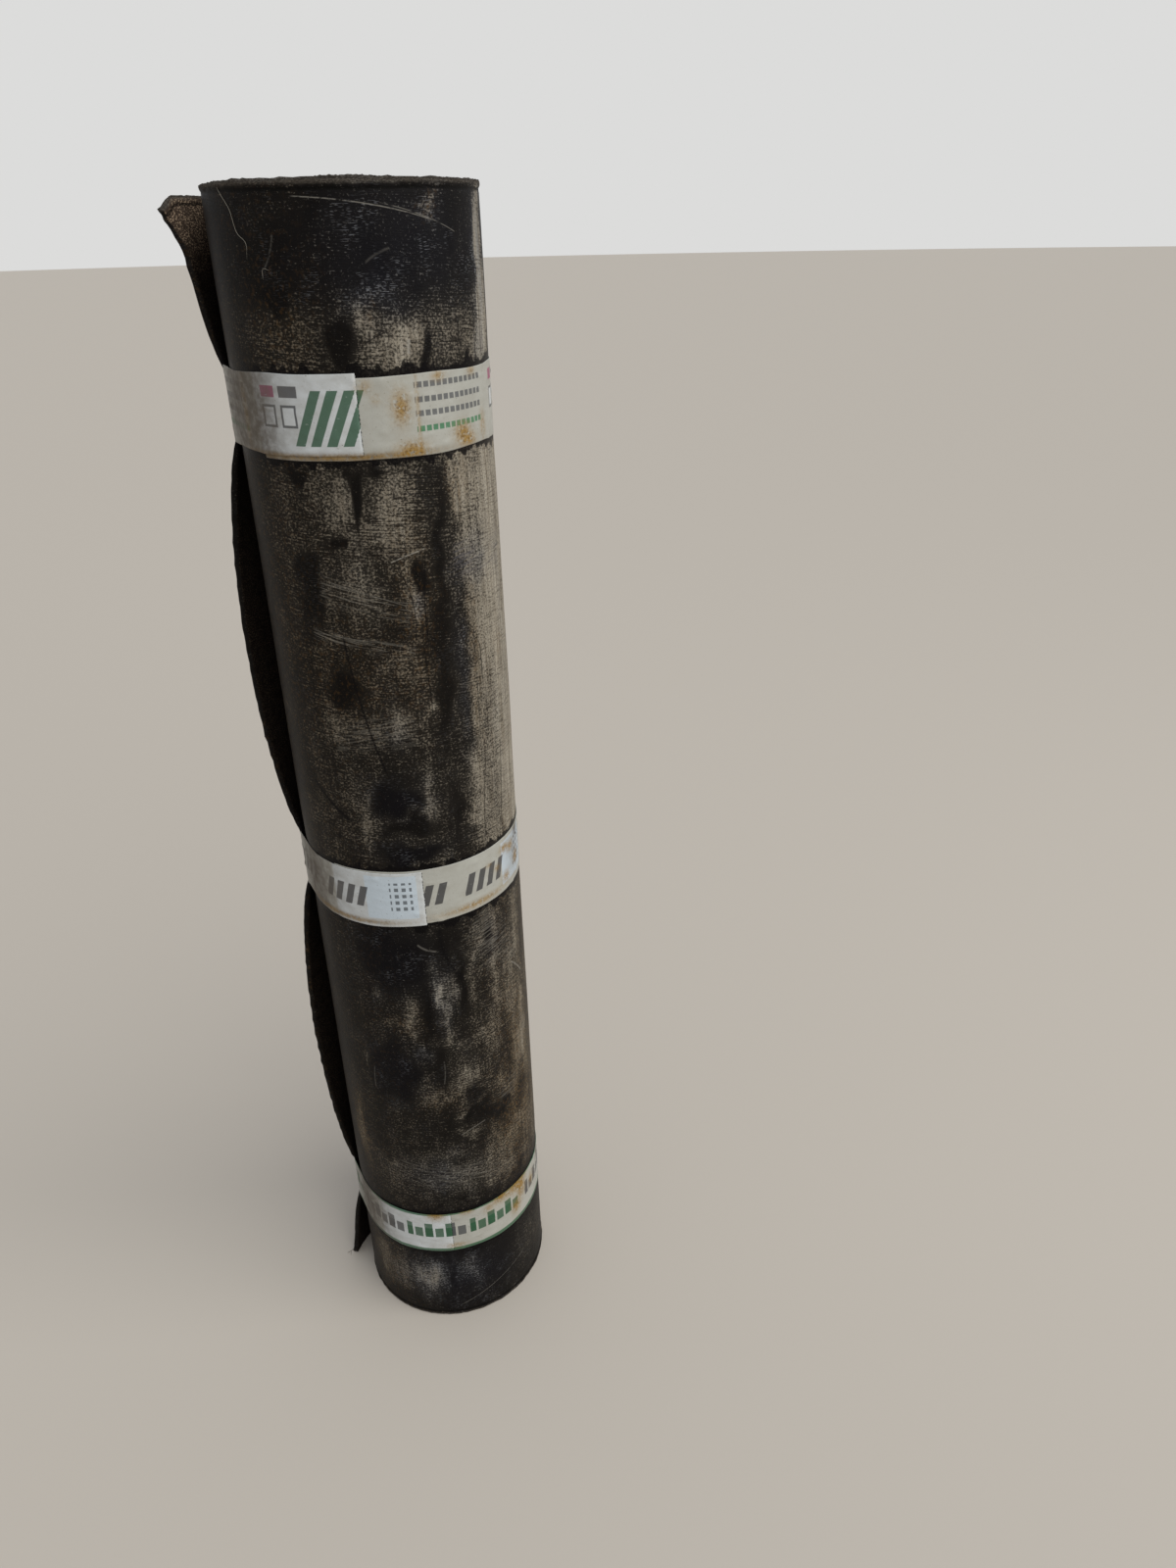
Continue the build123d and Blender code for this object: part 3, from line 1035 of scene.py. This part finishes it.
def stroke(tree, across, up, start, end, bow, width, strength, breaks=None):
    """A bowed line from start to end, in millimetres: 1 on it and 0 from its half width on.

    Along the line t = (p - start).(end - start) / length^2. The distance from it is that from the
    straight line less bow * 4t(1 - t)."""
    (x0, y0), (x1, y1) = start, end
    length = math.hypot(x1 - x0, y1 - y0) / 1000
    dx, dy = (x1 - x0) / 1000 / length, (y1 - y0) / 1000 / length
    along = weighted(tree, (across, dx / length), (up, dy / length))
    along = add(tree, "Math", [along, -(x0 * dx + y0 * dy) / 1000 / length], operation="ADD")
    aside = weighted(tree, (across, -dy), (up, dx))
    aside = add(tree, "Math", [aside, (x0 * dy - y0 * dx) / 1000], operation="ADD")
    rest = add(tree, "Math", [along, -1.0, 1.0], operation="MULTIPLY_ADD")
    arch = add(tree, "Math", [along, rest], operation="MULTIPLY")
    aside = add(tree, "Math", [arch, -4 * bow / 1000, aside], operation="MULTIPLY_ADD")
    aside = add(tree, "Math", [aside], operation="ABSOLUTE")
    line = add(tree, "MapRange", [aside, width / 2000, 0.0], interpolation_type="SMOOTHSTEP")
    ends = add(tree, "MapRange", [arch, 0.0, 0.06], interpolation_type="SMOOTHSTEP")
    return product(tree, line, ends, strength, *([breaks] if breaks else []))


print("patterns are measured in metres, strokes in millimetres")

# %% [markdown]
# ## The felt's outer face
# The outside is bitumen under a thin burn-off film: smooth, nearly black, and embossed with fine
# crosswise lines. Dust lies on it in flecks, thickest where nothing has rubbed it, and streaked
# lengthwise where rain has run down. One table holds all of its patterns. The real embossing and
# the finest flecks are a few tenths of a millimetre, too fine to show, so they are drawn at 1 to
# 2 mm.

# %% The outer face's patterns: width and height in metres, two levels, detail, shift and tilt
film_patterns = {
    "fine": (0.0018, 0.0016, 0.0, 1.0, 3.0),
    "mottle": (0.007, 0.009, 0.0, 1.0, 3.0, 5.0),
    "streak": (0.0026, 0.055, 0.20, 0.80, 2.0, 9.0),
    "wide_streak": (0.008, 0.12, 0.25, 0.75, 1.0, 2.0),
    "hairline": (0.016, 0.0010, 0.0, 1.0, 2.0, 7.0, -0.085),
    "combed": (0.045, 0.026, 0.36, 0.56, 1.0, 67.0),
    "blotch": (0.034, 0.045, 0.0, 1.0, 2.0, 3.0),
    "dots": (0.0015, 0.0017, 0.50, 0.62, 1.0, 11.0),
    "flecks": (0.0016, 0.0014, 0.66, 0.76, 2.0, 17.0),
    "dash": (0.0034, 0.0006, 0.60, 0.70, 0.0, 23.0),
    "rows": (0.022, 0.030, 0.48, 0.66, 2.0, 29.0),
    "rust": (0.0032, 0.0042, 0.52, 0.66, 3.0, 31.0),
}
cloud_parts = {
    "fine": 0.95,
    "mottle": 0.26,
    "streak": 0.08,
    "wide_streak": 0.06,
    "combs": 0.56,
    "blotch": 0.10,
}
print("the outer face has", len(film_patterns), "patterns")


# %% The outer face's dust and colour
def dust_cover(tree, film, dust, bare):
    """The dust that is left where things rubbed, and how far its flecks cover each point.

    A point is covered where the weighted sum of the patterns is over a level, and that level
    falls as the dust grows."""
    combs = add(tree, "Math", [film["hairline"], -0.5], operation="ADD")
    combs = add(tree, "Math", [combs, film["combed"]], operation="MULTIPLY")
    parts = film | {"combs": combs}
    cloud = weighted(tree, *((parts[name], weight) for name, weight in cloud_parts.items()))
    ragged = weighted(tree, (bare, 1.0), (film["mottle"], 0.45), (film["fine"], 0.45))
    dust = product(tree, dust, add(tree, "MapRange", [ragged, 0.70, 1.15, 1.0, 0.10]))
    level = add(tree, "Math", [dust, -0.74, 1.01], operation="MULTIPLY_ADD")
    over = add(tree, "Math", [cloud, level], operation="SUBTRACT")
    cover = add(tree, "MapRange", [over, -0.08, 0.26], interpolation_type="SMOOTHSTEP")
    dots = add(tree, "Math", [film["dots"], -0.50, 1.0], operation="MULTIPLY_ADD")
    return dust, product(tree, cover, dots)


def film_colour(tree, film, dust, cover, brown, painted_sheen):
    """Black bitumen under tan dust, with paler flecks, embossed film dashes, rust and painted
    sheen.
    """
    mottle, combed = film["mottle"], film["combed"]
    pale = add(tree, "MapRange", [dust, 0.20, 0.90], interpolation_type="SMOOTHSTEP")
    ruled = add(tree, "MapRange", [film["hairline"], 0.46, 0.32], interpolation_type="SMOOTHSTEP")
    # The painted sheen also brightens the embossed dashes.
    sheen = add(tree, "Math", [painted_sheen, 0.6, 0.08], operation="MULTIPLY_ADD")
    tan = layered(
        tree,
        "#6A6358",
        (pale, "#8A8275"),
        (product(tree, brown, 0.8), "#6E5B40"),
        # Painted sheen: a blue-grey reflection over the dust.
        (product(tree, painted_sheen, 0.8), "#686B70"),
        (product(tree, pale, film["wide_streak"], 0.8), "#5F5342"),
        (product(tree, pale, film["streak"], 0.8), "#B5AEA0"),
        (product(tree, ruled, combed, 0.55), "#453D33"),
    )
    return layered(
        tree,
        "#0A0807",
        # Painted sheen: a blue-grey reflection on the bare black.
        (painted_sheen, "#07070E"),
        (product(tree, mottle, 0.2), "#1D1815"),
        (product(tree, dust, 0.18), tan),
        (product(tree, cover, 0.90), tan),
        (product(tree, film["flecks"], mottle, 0.45), "#9A968C"),
        (product(tree, film["dash"], film["rows"], sheen), "#74767B"),
        (product(tree, film["rust"], brown, 0.45), "#5C4324"),
    )


print("fine flecks are drawn", film_patterns["fine"][0] * 1000, "mm wide")

# %% [markdown]
# ## Scratches, smears and soft bitumen
# Each scratch is a stroke where the photo shows one. Wide strokes are filled with fine slanted
# lines, as a brush of grit leaves them. Beside the bands, soft bitumen has crept out.

# %% Strokes: start, end, bow and width in millimetres, and strength
pale_strokes = (
    ((-34, 991), (58, 977), 2.5, 1.1, 0.55),
    ((20, 987), (78, 970), 1.5, 0.9, 0.40),
    ((4, 773), (30, 780), 0.4, 1.4, 0.80),
    ((-58, 952), (-48, 972), -1.5, 2.2, 0.14),
    ((8, 955), (25, 963), 1.0, 2.4, 0.13),
    ((31, 903), (32, 912), 0.3, 4.0, 0.90),
    ((-40, 759), (14, 741), 1.5, 1.1, 0.30),
    ((-60, 723), (10, 712), 2.0, 1.4, 0.25),
    ((-8, 458), (10, 448), -2.0, 3.0, 0.30),
    ((84, 402), (104, 378), 1.0, 2.4, 0.5),
    ((80, 640), (92, 637), 5.0, 2.0, 0.5),
    ((-64, 296), (-62, 322), 1.0, 2.0, 0.20),
    ((-5, 13), (75, 45), 1.5, 0.9, 0.45),
    ((12, 241), (38, 249), 1.0, 2.0, 0.35),
    ((2, 305), (4, 332), -1.0, 1.6, 0.20),
)
dark_strokes = (
    ((4, 911), (18, 917), 0.5, 1.5, 0.9),
    ((-36, 724), (-15, 612), -3.0, 3.0, 0.85),
    ((-84, 602), (-48, 570), -1.5, 6.0, 0.9),
    ((22, 712), (24, 655), 0.4, 1.2, 0.8),
    ((72, 702), (72, 673), 0.2, 2.0, 0.85),
    ((66, 742), (65, 604), 0.5, 1.8, 0.45),
    ((70, 612), (63, 538), -2.0, 2.4, 0.60),
    ((90, 615), (84, 545), 2.0, 2.6, 0.50),
    ((58, 838), (60, 796), 0.6, 3.0, 0.40),
    ((6, 773), (16, 714), 6.0, 1.6, 0.8),
    ((30, 778), (26, 712), -2.0, 1.6, 0.8),
    # This wide dark stroke is painted shade along the right side of the long dent.
    ((12, 472), (30, 412), -6.0, 8.0, 0.75),
    ((-30, 336), (-22, 300), 1.5, 1.6, 0.5),
    ((-12, 96), (-13, 6), 0.3, 1.1, 0.75),
)
brushed_strokes = (
    ((-50, 756), (18, 735), 3.0, 32, 0.34, "falling", "#8A857B"),
    ((-62, 722), (16, 706), 2.0, 16, 0.40, "falling", "#8A857B"),
    ((50, 772), (114, 762), -3.0, 44, 0.55, "rising", "#45444A"),
    ((56, 690), (110, 640), -6.0, 44, 0.40, "rising", "#4A453F"),
    ((56, 600), (110, 570), -4.0, 40, 0.35, "falling", "#4A453F"),
    ((44, 470), (104, 400), -8.0, 60, 0.28, "rising", "#8A857B"),
    ((56, 262), (104, 330), -12.0, 26, 0.34, "rising", "#8A857B"),
    ((-60, 205), (70, 175), 4.0, 44, 0.24, "falling", "#8A857B"),
    ((-56, 640), (12, 650), 2.0, 46, 0.22, "rising", "#8A857B"),
)
print("pale, dark and brushed:", len(pale_strokes), len(dark_strokes), len(brushed_strokes))


# %% Scuffs and soft bitumen
def scuffs(tree, colour, place, across, up):
    """The strokes laid over a colour: brushed lines first, then pale ones and dark ones."""
    breaks = uneven(tree, place, 0.005, 0.0025, 0.30, 0.52, 3.0, 37.0)
    lines = {
        "falling": uneven(tree, place, 0.034, 0.0013, 0.50, 0.60, 2.0, 71.0, -0.26),
        "rising": uneven(tree, place, 0.026, 0.0014, 0.50, 0.60, 2.0, 73.0, 0.14),
    }
    for *shape, way, tone in brushed_strokes:
        colour = layered(tree, colour, (stroke(tree, across, up, *shape, lines[way]), tone))
    for shape in pale_strokes:
        colour = layered(tree, colour, (stroke(tree, across, up, *shape, breaks), "#8E8A82"))
    for shape in dark_strokes:
        colour = layered(tree, colour, (stroke(tree, across, up, *shape), "#0B090A"))
    return colour


def distance_from(tree, value, *marks):
    """The distance of a value from the nearest of some marks."""
    gaps = [add(tree, "Math", [value, -mark], operation="ADD") for mark in marks]
    gaps = [add(tree, "Math", [gap], operation="ABSOLUTE") for gap in gaps]
    nearest = gaps[0]
    for gap in gaps[1:]:
        nearest = add(tree, "Math", [nearest, gap], operation="MINIMUM")
    return nearest


def tar_by_bands(tree, place, up):
    """Soft bitumen that has crept out from under the bands, in a ragged line beside them."""
    gap = distance_from(tree, up, *band_centres.values())
    drips = uneven(tree, place, 0.011, 0.030, 0.36, 0.74, 4.0, 41.0)
    reach = [drips, 0.0090, band_width / 2 + 0.0010]
    reach = add(tree, "Math", reach, operation="MULTIPLY_ADD")
    past = add(tree, "Math", [gap, reach], operation="SUBTRACT")
    return add(tree, "MapRange", [past, 0.0008, -0.0004], interpolation_type="SMOOTHSTEP")


print("bitumen creeps out by up to 10 mm beside", len(band_centres), "bands")

# %% [markdown]
# ## The felt's other faces, and its material
# The inside is bitumen pressed with sand: black, with painted light that makes it pale near the
# head.
# The cut edges show torn fibres of the mat that carries the bitumen. Neither shines, so the felt
# is rough all over and a little smoother where the film is clean or the bitumen is soft.


# %% The felt's material
def sanded_face(tree, place, up):
    """Colour and grains of the inside, which painted light makes pale near the head."""
    grains = uneven(tree, place, 0.0011, 0.0011, 0.50, 0.60, 1.0, 43.0)
    clumps = uneven(tree, place, 0.006, 0.007, 0.30, 0.55, 2.0, 47.0)
    # Painted light: the inside is pale near the head, and its pale grains show only there.
    painted_light_at_head = [up, 0.945, 0.992, 0.10, 1.0]
    painted_light_at_head = add(tree, "MapRange", painted_light_at_head, interpolation_type="SMOOTHSTEP")
    sandy = product(tree, grains, clumps, painted_light_at_head)
    return layered(tree, "#0D0A09", (painted_light_at_head, "#3A3029"), (sandy, "#98846F")), grains


def torn_edge(tree, place, up):
    """Colour and fibres of the cut edges, with painted shade in the head's grooves between turns.
    """
    fibre = uneven(tree, place, 0.0016, 0.0005, 0.35, 0.70, 3.0, 53.0)
    dirt = uneven(tree, place, 0.030, 0.010, 0.30, 0.60, 3.0, 59.0)
    groove = distance_from(tree, up, sheet_width + thickness / 2)
    groove = add(tree, "MapRange", [groove, 0.0012, 0.0018], interpolation_type="SMOOTHSTEP")
    on_head = add(tree, "Math", [up, sheet_width + 0.0001], operation="GREATER_THAN")
    colour = layered(
        tree,
        "#1E1B1A",
        (fibre, "#6C6760"),
        (product(tree, dirt, 0.6), "#3A332C"),
        # Painted shade in the grooves between the turns, on the head only.
        (product(tree, groove, on_head, 0.85), "#0B0A09"),
    )
    return colour, fibre


def make_felt_material():
    """Bitumen with its film, its sanded inside and its fibrous cut edges."""
    material, tree = new_material("torch_on_bitumen_sheet")
    place, across, up = map_place(tree)
    dust, bare, brown, painted_sheen, sanded, cut = (
        add(tree, "Attribute", attribute_name=label).node.outputs["Fac"]
        for label in ("dust", "bare", "brown", "painted_sheen", "sanded", "cut")
    )
    film = {name: uneven(tree, place, *sizes) for name, sizes in film_patterns.items()}
    dust, cover = dust_cover(tree, film, dust, bare)
    tar = tar_by_bands(tree, place, up)
    sand, grains = sanded_face(tree, place, up)
    torn, fibre = torn_edge(tree, place, up)
    # Painted shade: a dark line along the crease under the lip, near each end of the sheet.
    crease = distance_from(tree, up, sheet_width - crease_height, crease_height)
    crease = add(tree, "MapRange", [crease, 0.0016, 0.0004], interpolation_type="SMOOTHSTEP")
    colour = film_colour(tree, film, dust, cover, brown, painted_sheen)
    colour = layered(
        tree,
        scuffs(tree, colour, place, across, up),
        (product(tree, tar, 0.92), "#090708"),
        (sanded, sand),
        # The crease's painted shade.
        (product(tree, crease, 0.8), "#080706"),
        (cut, torn),
    )
    coarse = add(tree, "Math", [sanded, cut], operation="MAXIMUM")
    rough = add(tree, "MapRange", [cover, 0.0, 1.0, 0.45, 0.88])
    rough = add(tree, "Mix", [product(tree, tar, 0.8), rough, 0.35], data_type="FLOAT")
    rough = add(tree, "Mix", [coarse, rough, 0.92], data_type="FLOAT")
    relief = weighted(tree, (film["fine"], 0.6), (film["hairline"], 0.5))
    relief = weighted(tree, (relief, 1.0), (grains, sanded), (fibre, cut))
    bump = add(tree, "Bump", {"Strength": 0.55, "Distance": 0.00035, "Height": relief})
    skin = {"Base Color": colour, "Roughness": rough, "Specular IOR Level": 0.06, "Normal": bump}
    finish_material(tree, add(tree, "BsdfPrincipled", skin))
    print(material.name, "has", len(tree.nodes), "nodes")
    return material


felt_sheet.data.materials.append(make_felt_material())

# %% [markdown]
# ## The bands' print and stains
# The bands are white film, and carry a plain print of blocks, dashes, frames and slanted bars in
# dark green, grey and a little magenta. Each print is laid out in millimetres and repeats round
# the roll. Where the film lies double it looks whiter, where it lies single the black felt shows
# through, and rust and soil have stained it.

# %% Stains on the bands' points: across, up, half width, half height and amount
stain_spots = {
    "band_top": (
        (20, 872, 6, 10, 1.0), (67, 852, 8, 6, 1.0), (73, 846, 8, 4, 0.9), (31, 867, 0.8, 30, 0.6),
        (25, 846, 10, 5, 0.9), (-20, 843, 60, 2.2, 0.7), (48, 889, 5, 3, 0.8), (80, 889, 5, 3, 0.6),
        (-97, 868, 3, 20, 0.2), (-2, 886, 4, 4, 0.5), (4, 878, 3, 3, 0.4), (93, 853, 4, 9, 0.6),
    ),
    "band_middle": (
        (82, 518, 6, 4, 1.0), (93, 514, 6, 5, 0.9), (104, 498, 6, 6, 0.9), (83, 490, 6, 5, 0.8),
        (45, 483, 30, 3.0, 0.8), (-60, 480, 44, 2.4, 0.6), (70, 505, 3, 3, 0.6),
        (60, 512, 3, 2, 0.5),
    ),
    "band_bottom": (
        (-19, 143, 8, 6, 1.0), (8, 144, 6, 4, 0.9), (43, 142, 7, 6, 1.0), (64, 141, 14, 8, 1.0),
        (72, 130, 6, 12, 0.9), (63, 113, 6, 8, 0.9), (-4, 101, 9, 3, 0.6), (30, 137, 5, 5, 0.6),
        (92, 125, 6, 8, 0.6),
    ),
}
soil_spots = {
    "band_top": ((-108, 868, 30, 60, 1.15), (-78, 868, 18, 60, 0.5), (-25, 843, 66, 2.4, 0.8)),
    "band_middle": (
        (-108, 502, 30, 60, 1.05), (108, 522, 5, 5, 0.9), (100, 506, 13, 22, 0.35),
        (-60, 480, 40, 2.4, 0.5),
    ),
    "band_bottom": ((-106, 120, 26, 60, 1.05), (115, 137, 6, 6, 0.9), (-76, 120, 10, 40, 0.2)),
}


def paint_band(thing, values, name):
    """Gives each point of a band its rust stain and its soil, by where it shows at the front."""
    along, up = values[:, 0], values[:, 1]
    start, end = (face_radius * math.radians(a[name] - 270) for a in (band_starts, band_ends))
    total = along.max()
    across = np.where(along < total / 2, along + start, along - total + end)
    for label, places in (("stain", stain_spots), ("soil", soil_spots)):
        Skin.attach(thing.data, label, np.clip(spots(across, up, places[name]), 0, 1))


for name, (made, values) in bands.items():
    paint_band(made, values, name)
print("stained bands:", len(stain_spots))


# %% The bands' print, in millimetres
print_softness = 0.0002


def repeated(tree, along, start, length):
    """The place within a print that starts there and then repeats."""
    place = add(tree, "Math", [along, -start / 1000], operation="ADD")
    return add(tree, "Math", [place, length / 1000], operation="FLOORED_MODULO")


def block(tree, across, up, left, right, low, high, slant=0.0):
    """A rectangle in millimetres, or a parallelogram that leans by slant for each unit up."""
    above = add(tree, "Math", [up, -(low + high) / 2000], operation="ADD")
    leaning = add(tree, "Math", [above, -slant, across], operation="MULTIPLY_ADD")
    aside = add(tree, "Math", [leaning, -(left + right) / 2000], operation="ADD")
    within = []
    for offset, half in ((aside, (right - left) / 2000), (above, (high - low) / 2000)):
        away = add(tree, "Math", [offset], operation="ABSOLUTE")
        within.append(add(tree, "MapRange", [away, half + print_softness, half - print_softness]))
    return product(tree, *within)


def ticks(tree, across, step, share):
    """Upright ticks that repeat every so many millimetres and fill a share of that."""
    turn = add(tree, "Math", [across, step / 1000], operation="FLOORED_MODULO")
    return add(tree, "Math", [turn, step / 1000 * share], operation="LESS_THAN")


def print_top(tree, along, up):
    """Slanted green bars, hollow frames, a magenta and a grey bar, and rows of dashes."""
    x = repeated(tree, along, 577, 193)
    shapes = []
    for left in (33, 44, 55, 66):
        shapes.append((block(tree, x, up, left, left + 7, 850, 884, 0.45), "#0E4A2C"))
    for left in (1, 17):
        frame_shape = block(tree, x, up, left, left + 12, 861, 875)
        hollow = block(tree, x, up, left + 1.6, left + 10.4, 862.6, 873.4)
        line = add(tree, "Math", [frame_shape, hollow], operation="SUBTRACT", use_clamp=True)
        shapes += [(hollow, "#C2C6C8"), (line, "#3F4246")]
    for left, right, ink in ((1, 13, "#8A2457"), (17, 31, "#3A3A3E")):
        shapes.append((block(tree, x, up, left, right, 879.5, 886.5), ink))
    for low in (883.0, 874.0, 865.5, 856.0):
        ink = "#2C6E49" if low < 860 else "#4E5052"
        row = block(tree, x, up, 113, 175, low, low + 3.6)
        shapes.append((product(tree, row, ticks(tree, x, 5.0, 0.74)), ink))
    return shapes


def print_middle(tree, along, up):
    """Rows of dark slanted bars, and a bluish panel with small squares."""
    x = repeated(tree, along, 560, 150)
    panel = block(tree, x, up, 42, 84, 484, 524)
    squares = product(tree, block(tree, x, up, 62, 80, 490, 518), ticks(tree, x, 6.0, 0.55))
    squares = product(tree, squares, ticks(tree, up, 6.0, 0.55))
    shapes = [(panel, "#B4C0CA"), (squares, "#50565C")]
    for left in (2, 13, 24, 35, 93, 104, 115, 126):
        shapes.append((block(tree, x, up, left, left + 6.5, 494, 513, 0.3), "#2B2B2F"))
    return shapes


def print_bottom(tree, along, up):
    """Tall and short blocks in dark grey and green, between two green lines along the edges."""
    x = repeated(tree, along, 540, 128)
    shapes = []
    for left, ink in ((2, "#3E4144"), (62, "#114A2C")):
        for top, step, share in ((132, 20.0, 0.38), (126, 10.0, 0.78)):
            row = block(tree, x, up, left, left + 58, 114, top)
            shapes.append((product(tree, row, ticks(tree, x, step, share)), ink))
    for low, high, ink in ((92, 98, "#15502F"), (142.5, 148, "#1E5838")):
        shapes.append((block(tree, along, up, -900, 900, low, high), ink))
    return shapes


prints = {"band_top": print_top, "band_middle": print_middle, "band_bottom": print_bottom}
print("prints:", [printed.__doc__.split(",")[0] for printed in prints.values()])


# %% The tape's material
def make_tape_material(name, printed):
    """White printed film, dirty, stained, and see-through where it lies single."""
    material, tree = new_material("printed_film_tape_" + name.removeprefix("band_"))
    place, along, up = map_place(tree)
    doubled, stain, soil = (
        add(tree, "Attribute", attribute_name=label).node.outputs["Fac"]
        for label in ("doubled", "stain", "soil")
    )
    cloud = uneven(tree, place, 0.016, 0.012, 0.35, 0.75, 4.0, 3.0)
    worn = uneven(tree, place, 0.0050, 0.0026, 0.24, 0.36, 4.0, 13.0)
    specks = uneven(tree, place, 0.0017, 0.0017, 0.66, 0.74, 2.0, 19.0)
    grime = uneven(tree, place, 0.006, 0.006, 0.30, 0.62, 4.0, 23.0)
    crust = uneven(tree, place, 0.0032, 0.0032, 0.30, 0.52, 4.0, 29.0)
    core = uneven(tree, place, 0.0018, 0.0018, 0.50, 0.64, 2.0, 31.0)
    shapes = printed(tree, along, up)
    colour = layered(
        tree,
        "#A4A49D",
        (doubled, "#BCC0C2"),
        (product(tree, cloud, 0.40), "#8E8A80"),
        *((product(tree, shape, worn, 0.88), ink) for shape, ink in shapes),
        (product(tree, specks, 0.7), "#5C5140"),
        (product(tree, grime, soil, 0.9), "#4F463C"),
        (product(tree, soil, 0.75), "#4E463C"),
        (product(tree, crust, stain, 0.95), "#8A6A28"),
        (product(tree, core, stain, 0.8), "#5E4418"),
    )
    relief = weighted(tree, (cloud, 0.4), (worn, 0.1), (crust, 0.3))
    bump = add(tree, "Bump", {"Strength": 0.35, "Distance": 0.0004, "Height": relief})
    rough = weighted(tree, (cloud, 0.15), (stain, 0.4), (soil, 0.3), (1.0, 0.30))
    skin = {"Base Color": colour, "Roughness": rough, "Specular IOR Level": 0.45, "Normal": bump}
    finish_material(tree, add(tree, "BsdfPrincipled", skin))
    print(material.name, "has", len(tree.nodes), "nodes")
    return material


for name, printed in prints.items():
    bands[name][0].data.materials.append(make_tape_material(name, printed))

# %% [markdown]
# ## A thread and loose fibres
# One pale thread of the mat hangs down from the cut edge at the front, with a short hooked one
# under it, and two fibres stick out of the foot corner of the free end. They are drawn as thin
# tubes that follow the roll.


# %% Make the threads
def on_roll(across, up, stand_off):
    """A point over the unrolled face, so many millimetres across, up and off the felt."""
    back = root_angle + 90 - math.degrees(across / 1000 / face_radius)
    place, outwards = winding(np.array([back]))
    height = np.array([up / 1000])
    lift = unevenness(np.array([across / 1000]), height) + stand_off / 1000
    return [*(place + outwards * lift[:, None])[0], up / 1000]


def tube(path, radius, sides=6):
    """A closed thin tube along a path of points, with pointed ends."""
    path = np.array(path)
    steps = np.gradient(path, axis=0)
    steps /= np.linalg.norm(steps, axis=-1, keepdims=True)
    first = np.cross(steps, [0.3, 0.2, 0.93])
    first /= np.linalg.norm(first, axis=-1, keepdims=True)
    second = np.cross(steps, first)
    turn = np.linspace(0, 2 * math.pi, sides, endpoint=False)[None, :, None]
    share = np.linspace(0, 1, len(path))
    thick = radius * np.minimum(1, 0.15 + 4 * np.minimum(share, 1 - share))
    ring = np.cos(turn) * first[:, None] + np.sin(turn) * second[:, None]
    return path[:, None] + ring * thick[:, None, None]


def smooth_path(corners, steps=40):
    """A rounded line through corner points: cubic pieces with slopes from their neighbours."""
    corners = np.array(corners, float)
    slopes = np.gradient(corners, axis=0)
    at = np.linspace(0, len(corners) - 1, steps)
    piece = np.minimum(at.astype(int), len(corners) - 2)
    t = (at - piece)[:, None]
    start, end = corners[piece], corners[piece + 1]
    bend = (2 * t**3 - 3 * t**2 + 1) * start + (3 * t**2 - 2 * t**3) * end
    return bend + (t**3 - 2 * t**2 + t) * slopes[piece] + (t**3 - t**2) * slopes[piece + 1]


def make_threads():
    """All the loose threads as one mesh of closed tubes."""
    front = [(-93, 1001), (-88, 994), (-80, 985), (-76, 973), (-69, 967), (-70, 958)]
    front = smooth_path([on_roll(*at, 0.5) for at in front])
    hook = smooth_path([on_roll(*at, 0.5) for at in ((-59, 947), (-58, 953), (-53, 952))], 16)
    corner = free_wall(np.array([free_length]), np.array([0.004]), 0)[0]
    bends = (
        ([-0.004, -0.002, -0.001], [-0.007, -0.001, -0.0035]),
        ([-0.002, -0.004, 0.002], [-0.003, -0.008, 0.0]),
    )
    long_tail, short_tail = (smooth_path([corner, *(corner + bend)], 14) for bend in bends)
    loose = Skin()
    radii = (0.00015, 0.00013, 0.0003, 0.00025)
    for path, radius in zip((front, hook, long_tail, short_tail), radii):
        rings = tube(path, radius)
        numbers = loose.grid(rings, 0.0, 0.0)
        loose.quads(np.column_stack([numbers, numbers[:, 0]]))
        loose.polygons([numbers[0], numbers[-1][::-1]])
    made = loose.make("loose_threads", [])[0]
    point_outwards(made)
    material, tree = new_material("glass_and_polyester_fibre")
    paint = {"Base Color": linear("#7D776D"), "Roughness": 0.7}
    finish_material(tree, add(tree, "BsdfPrincipled", paint))
    made.data.materials.append(material)
    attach(made, "root")


make_threads()

# %% [markdown]
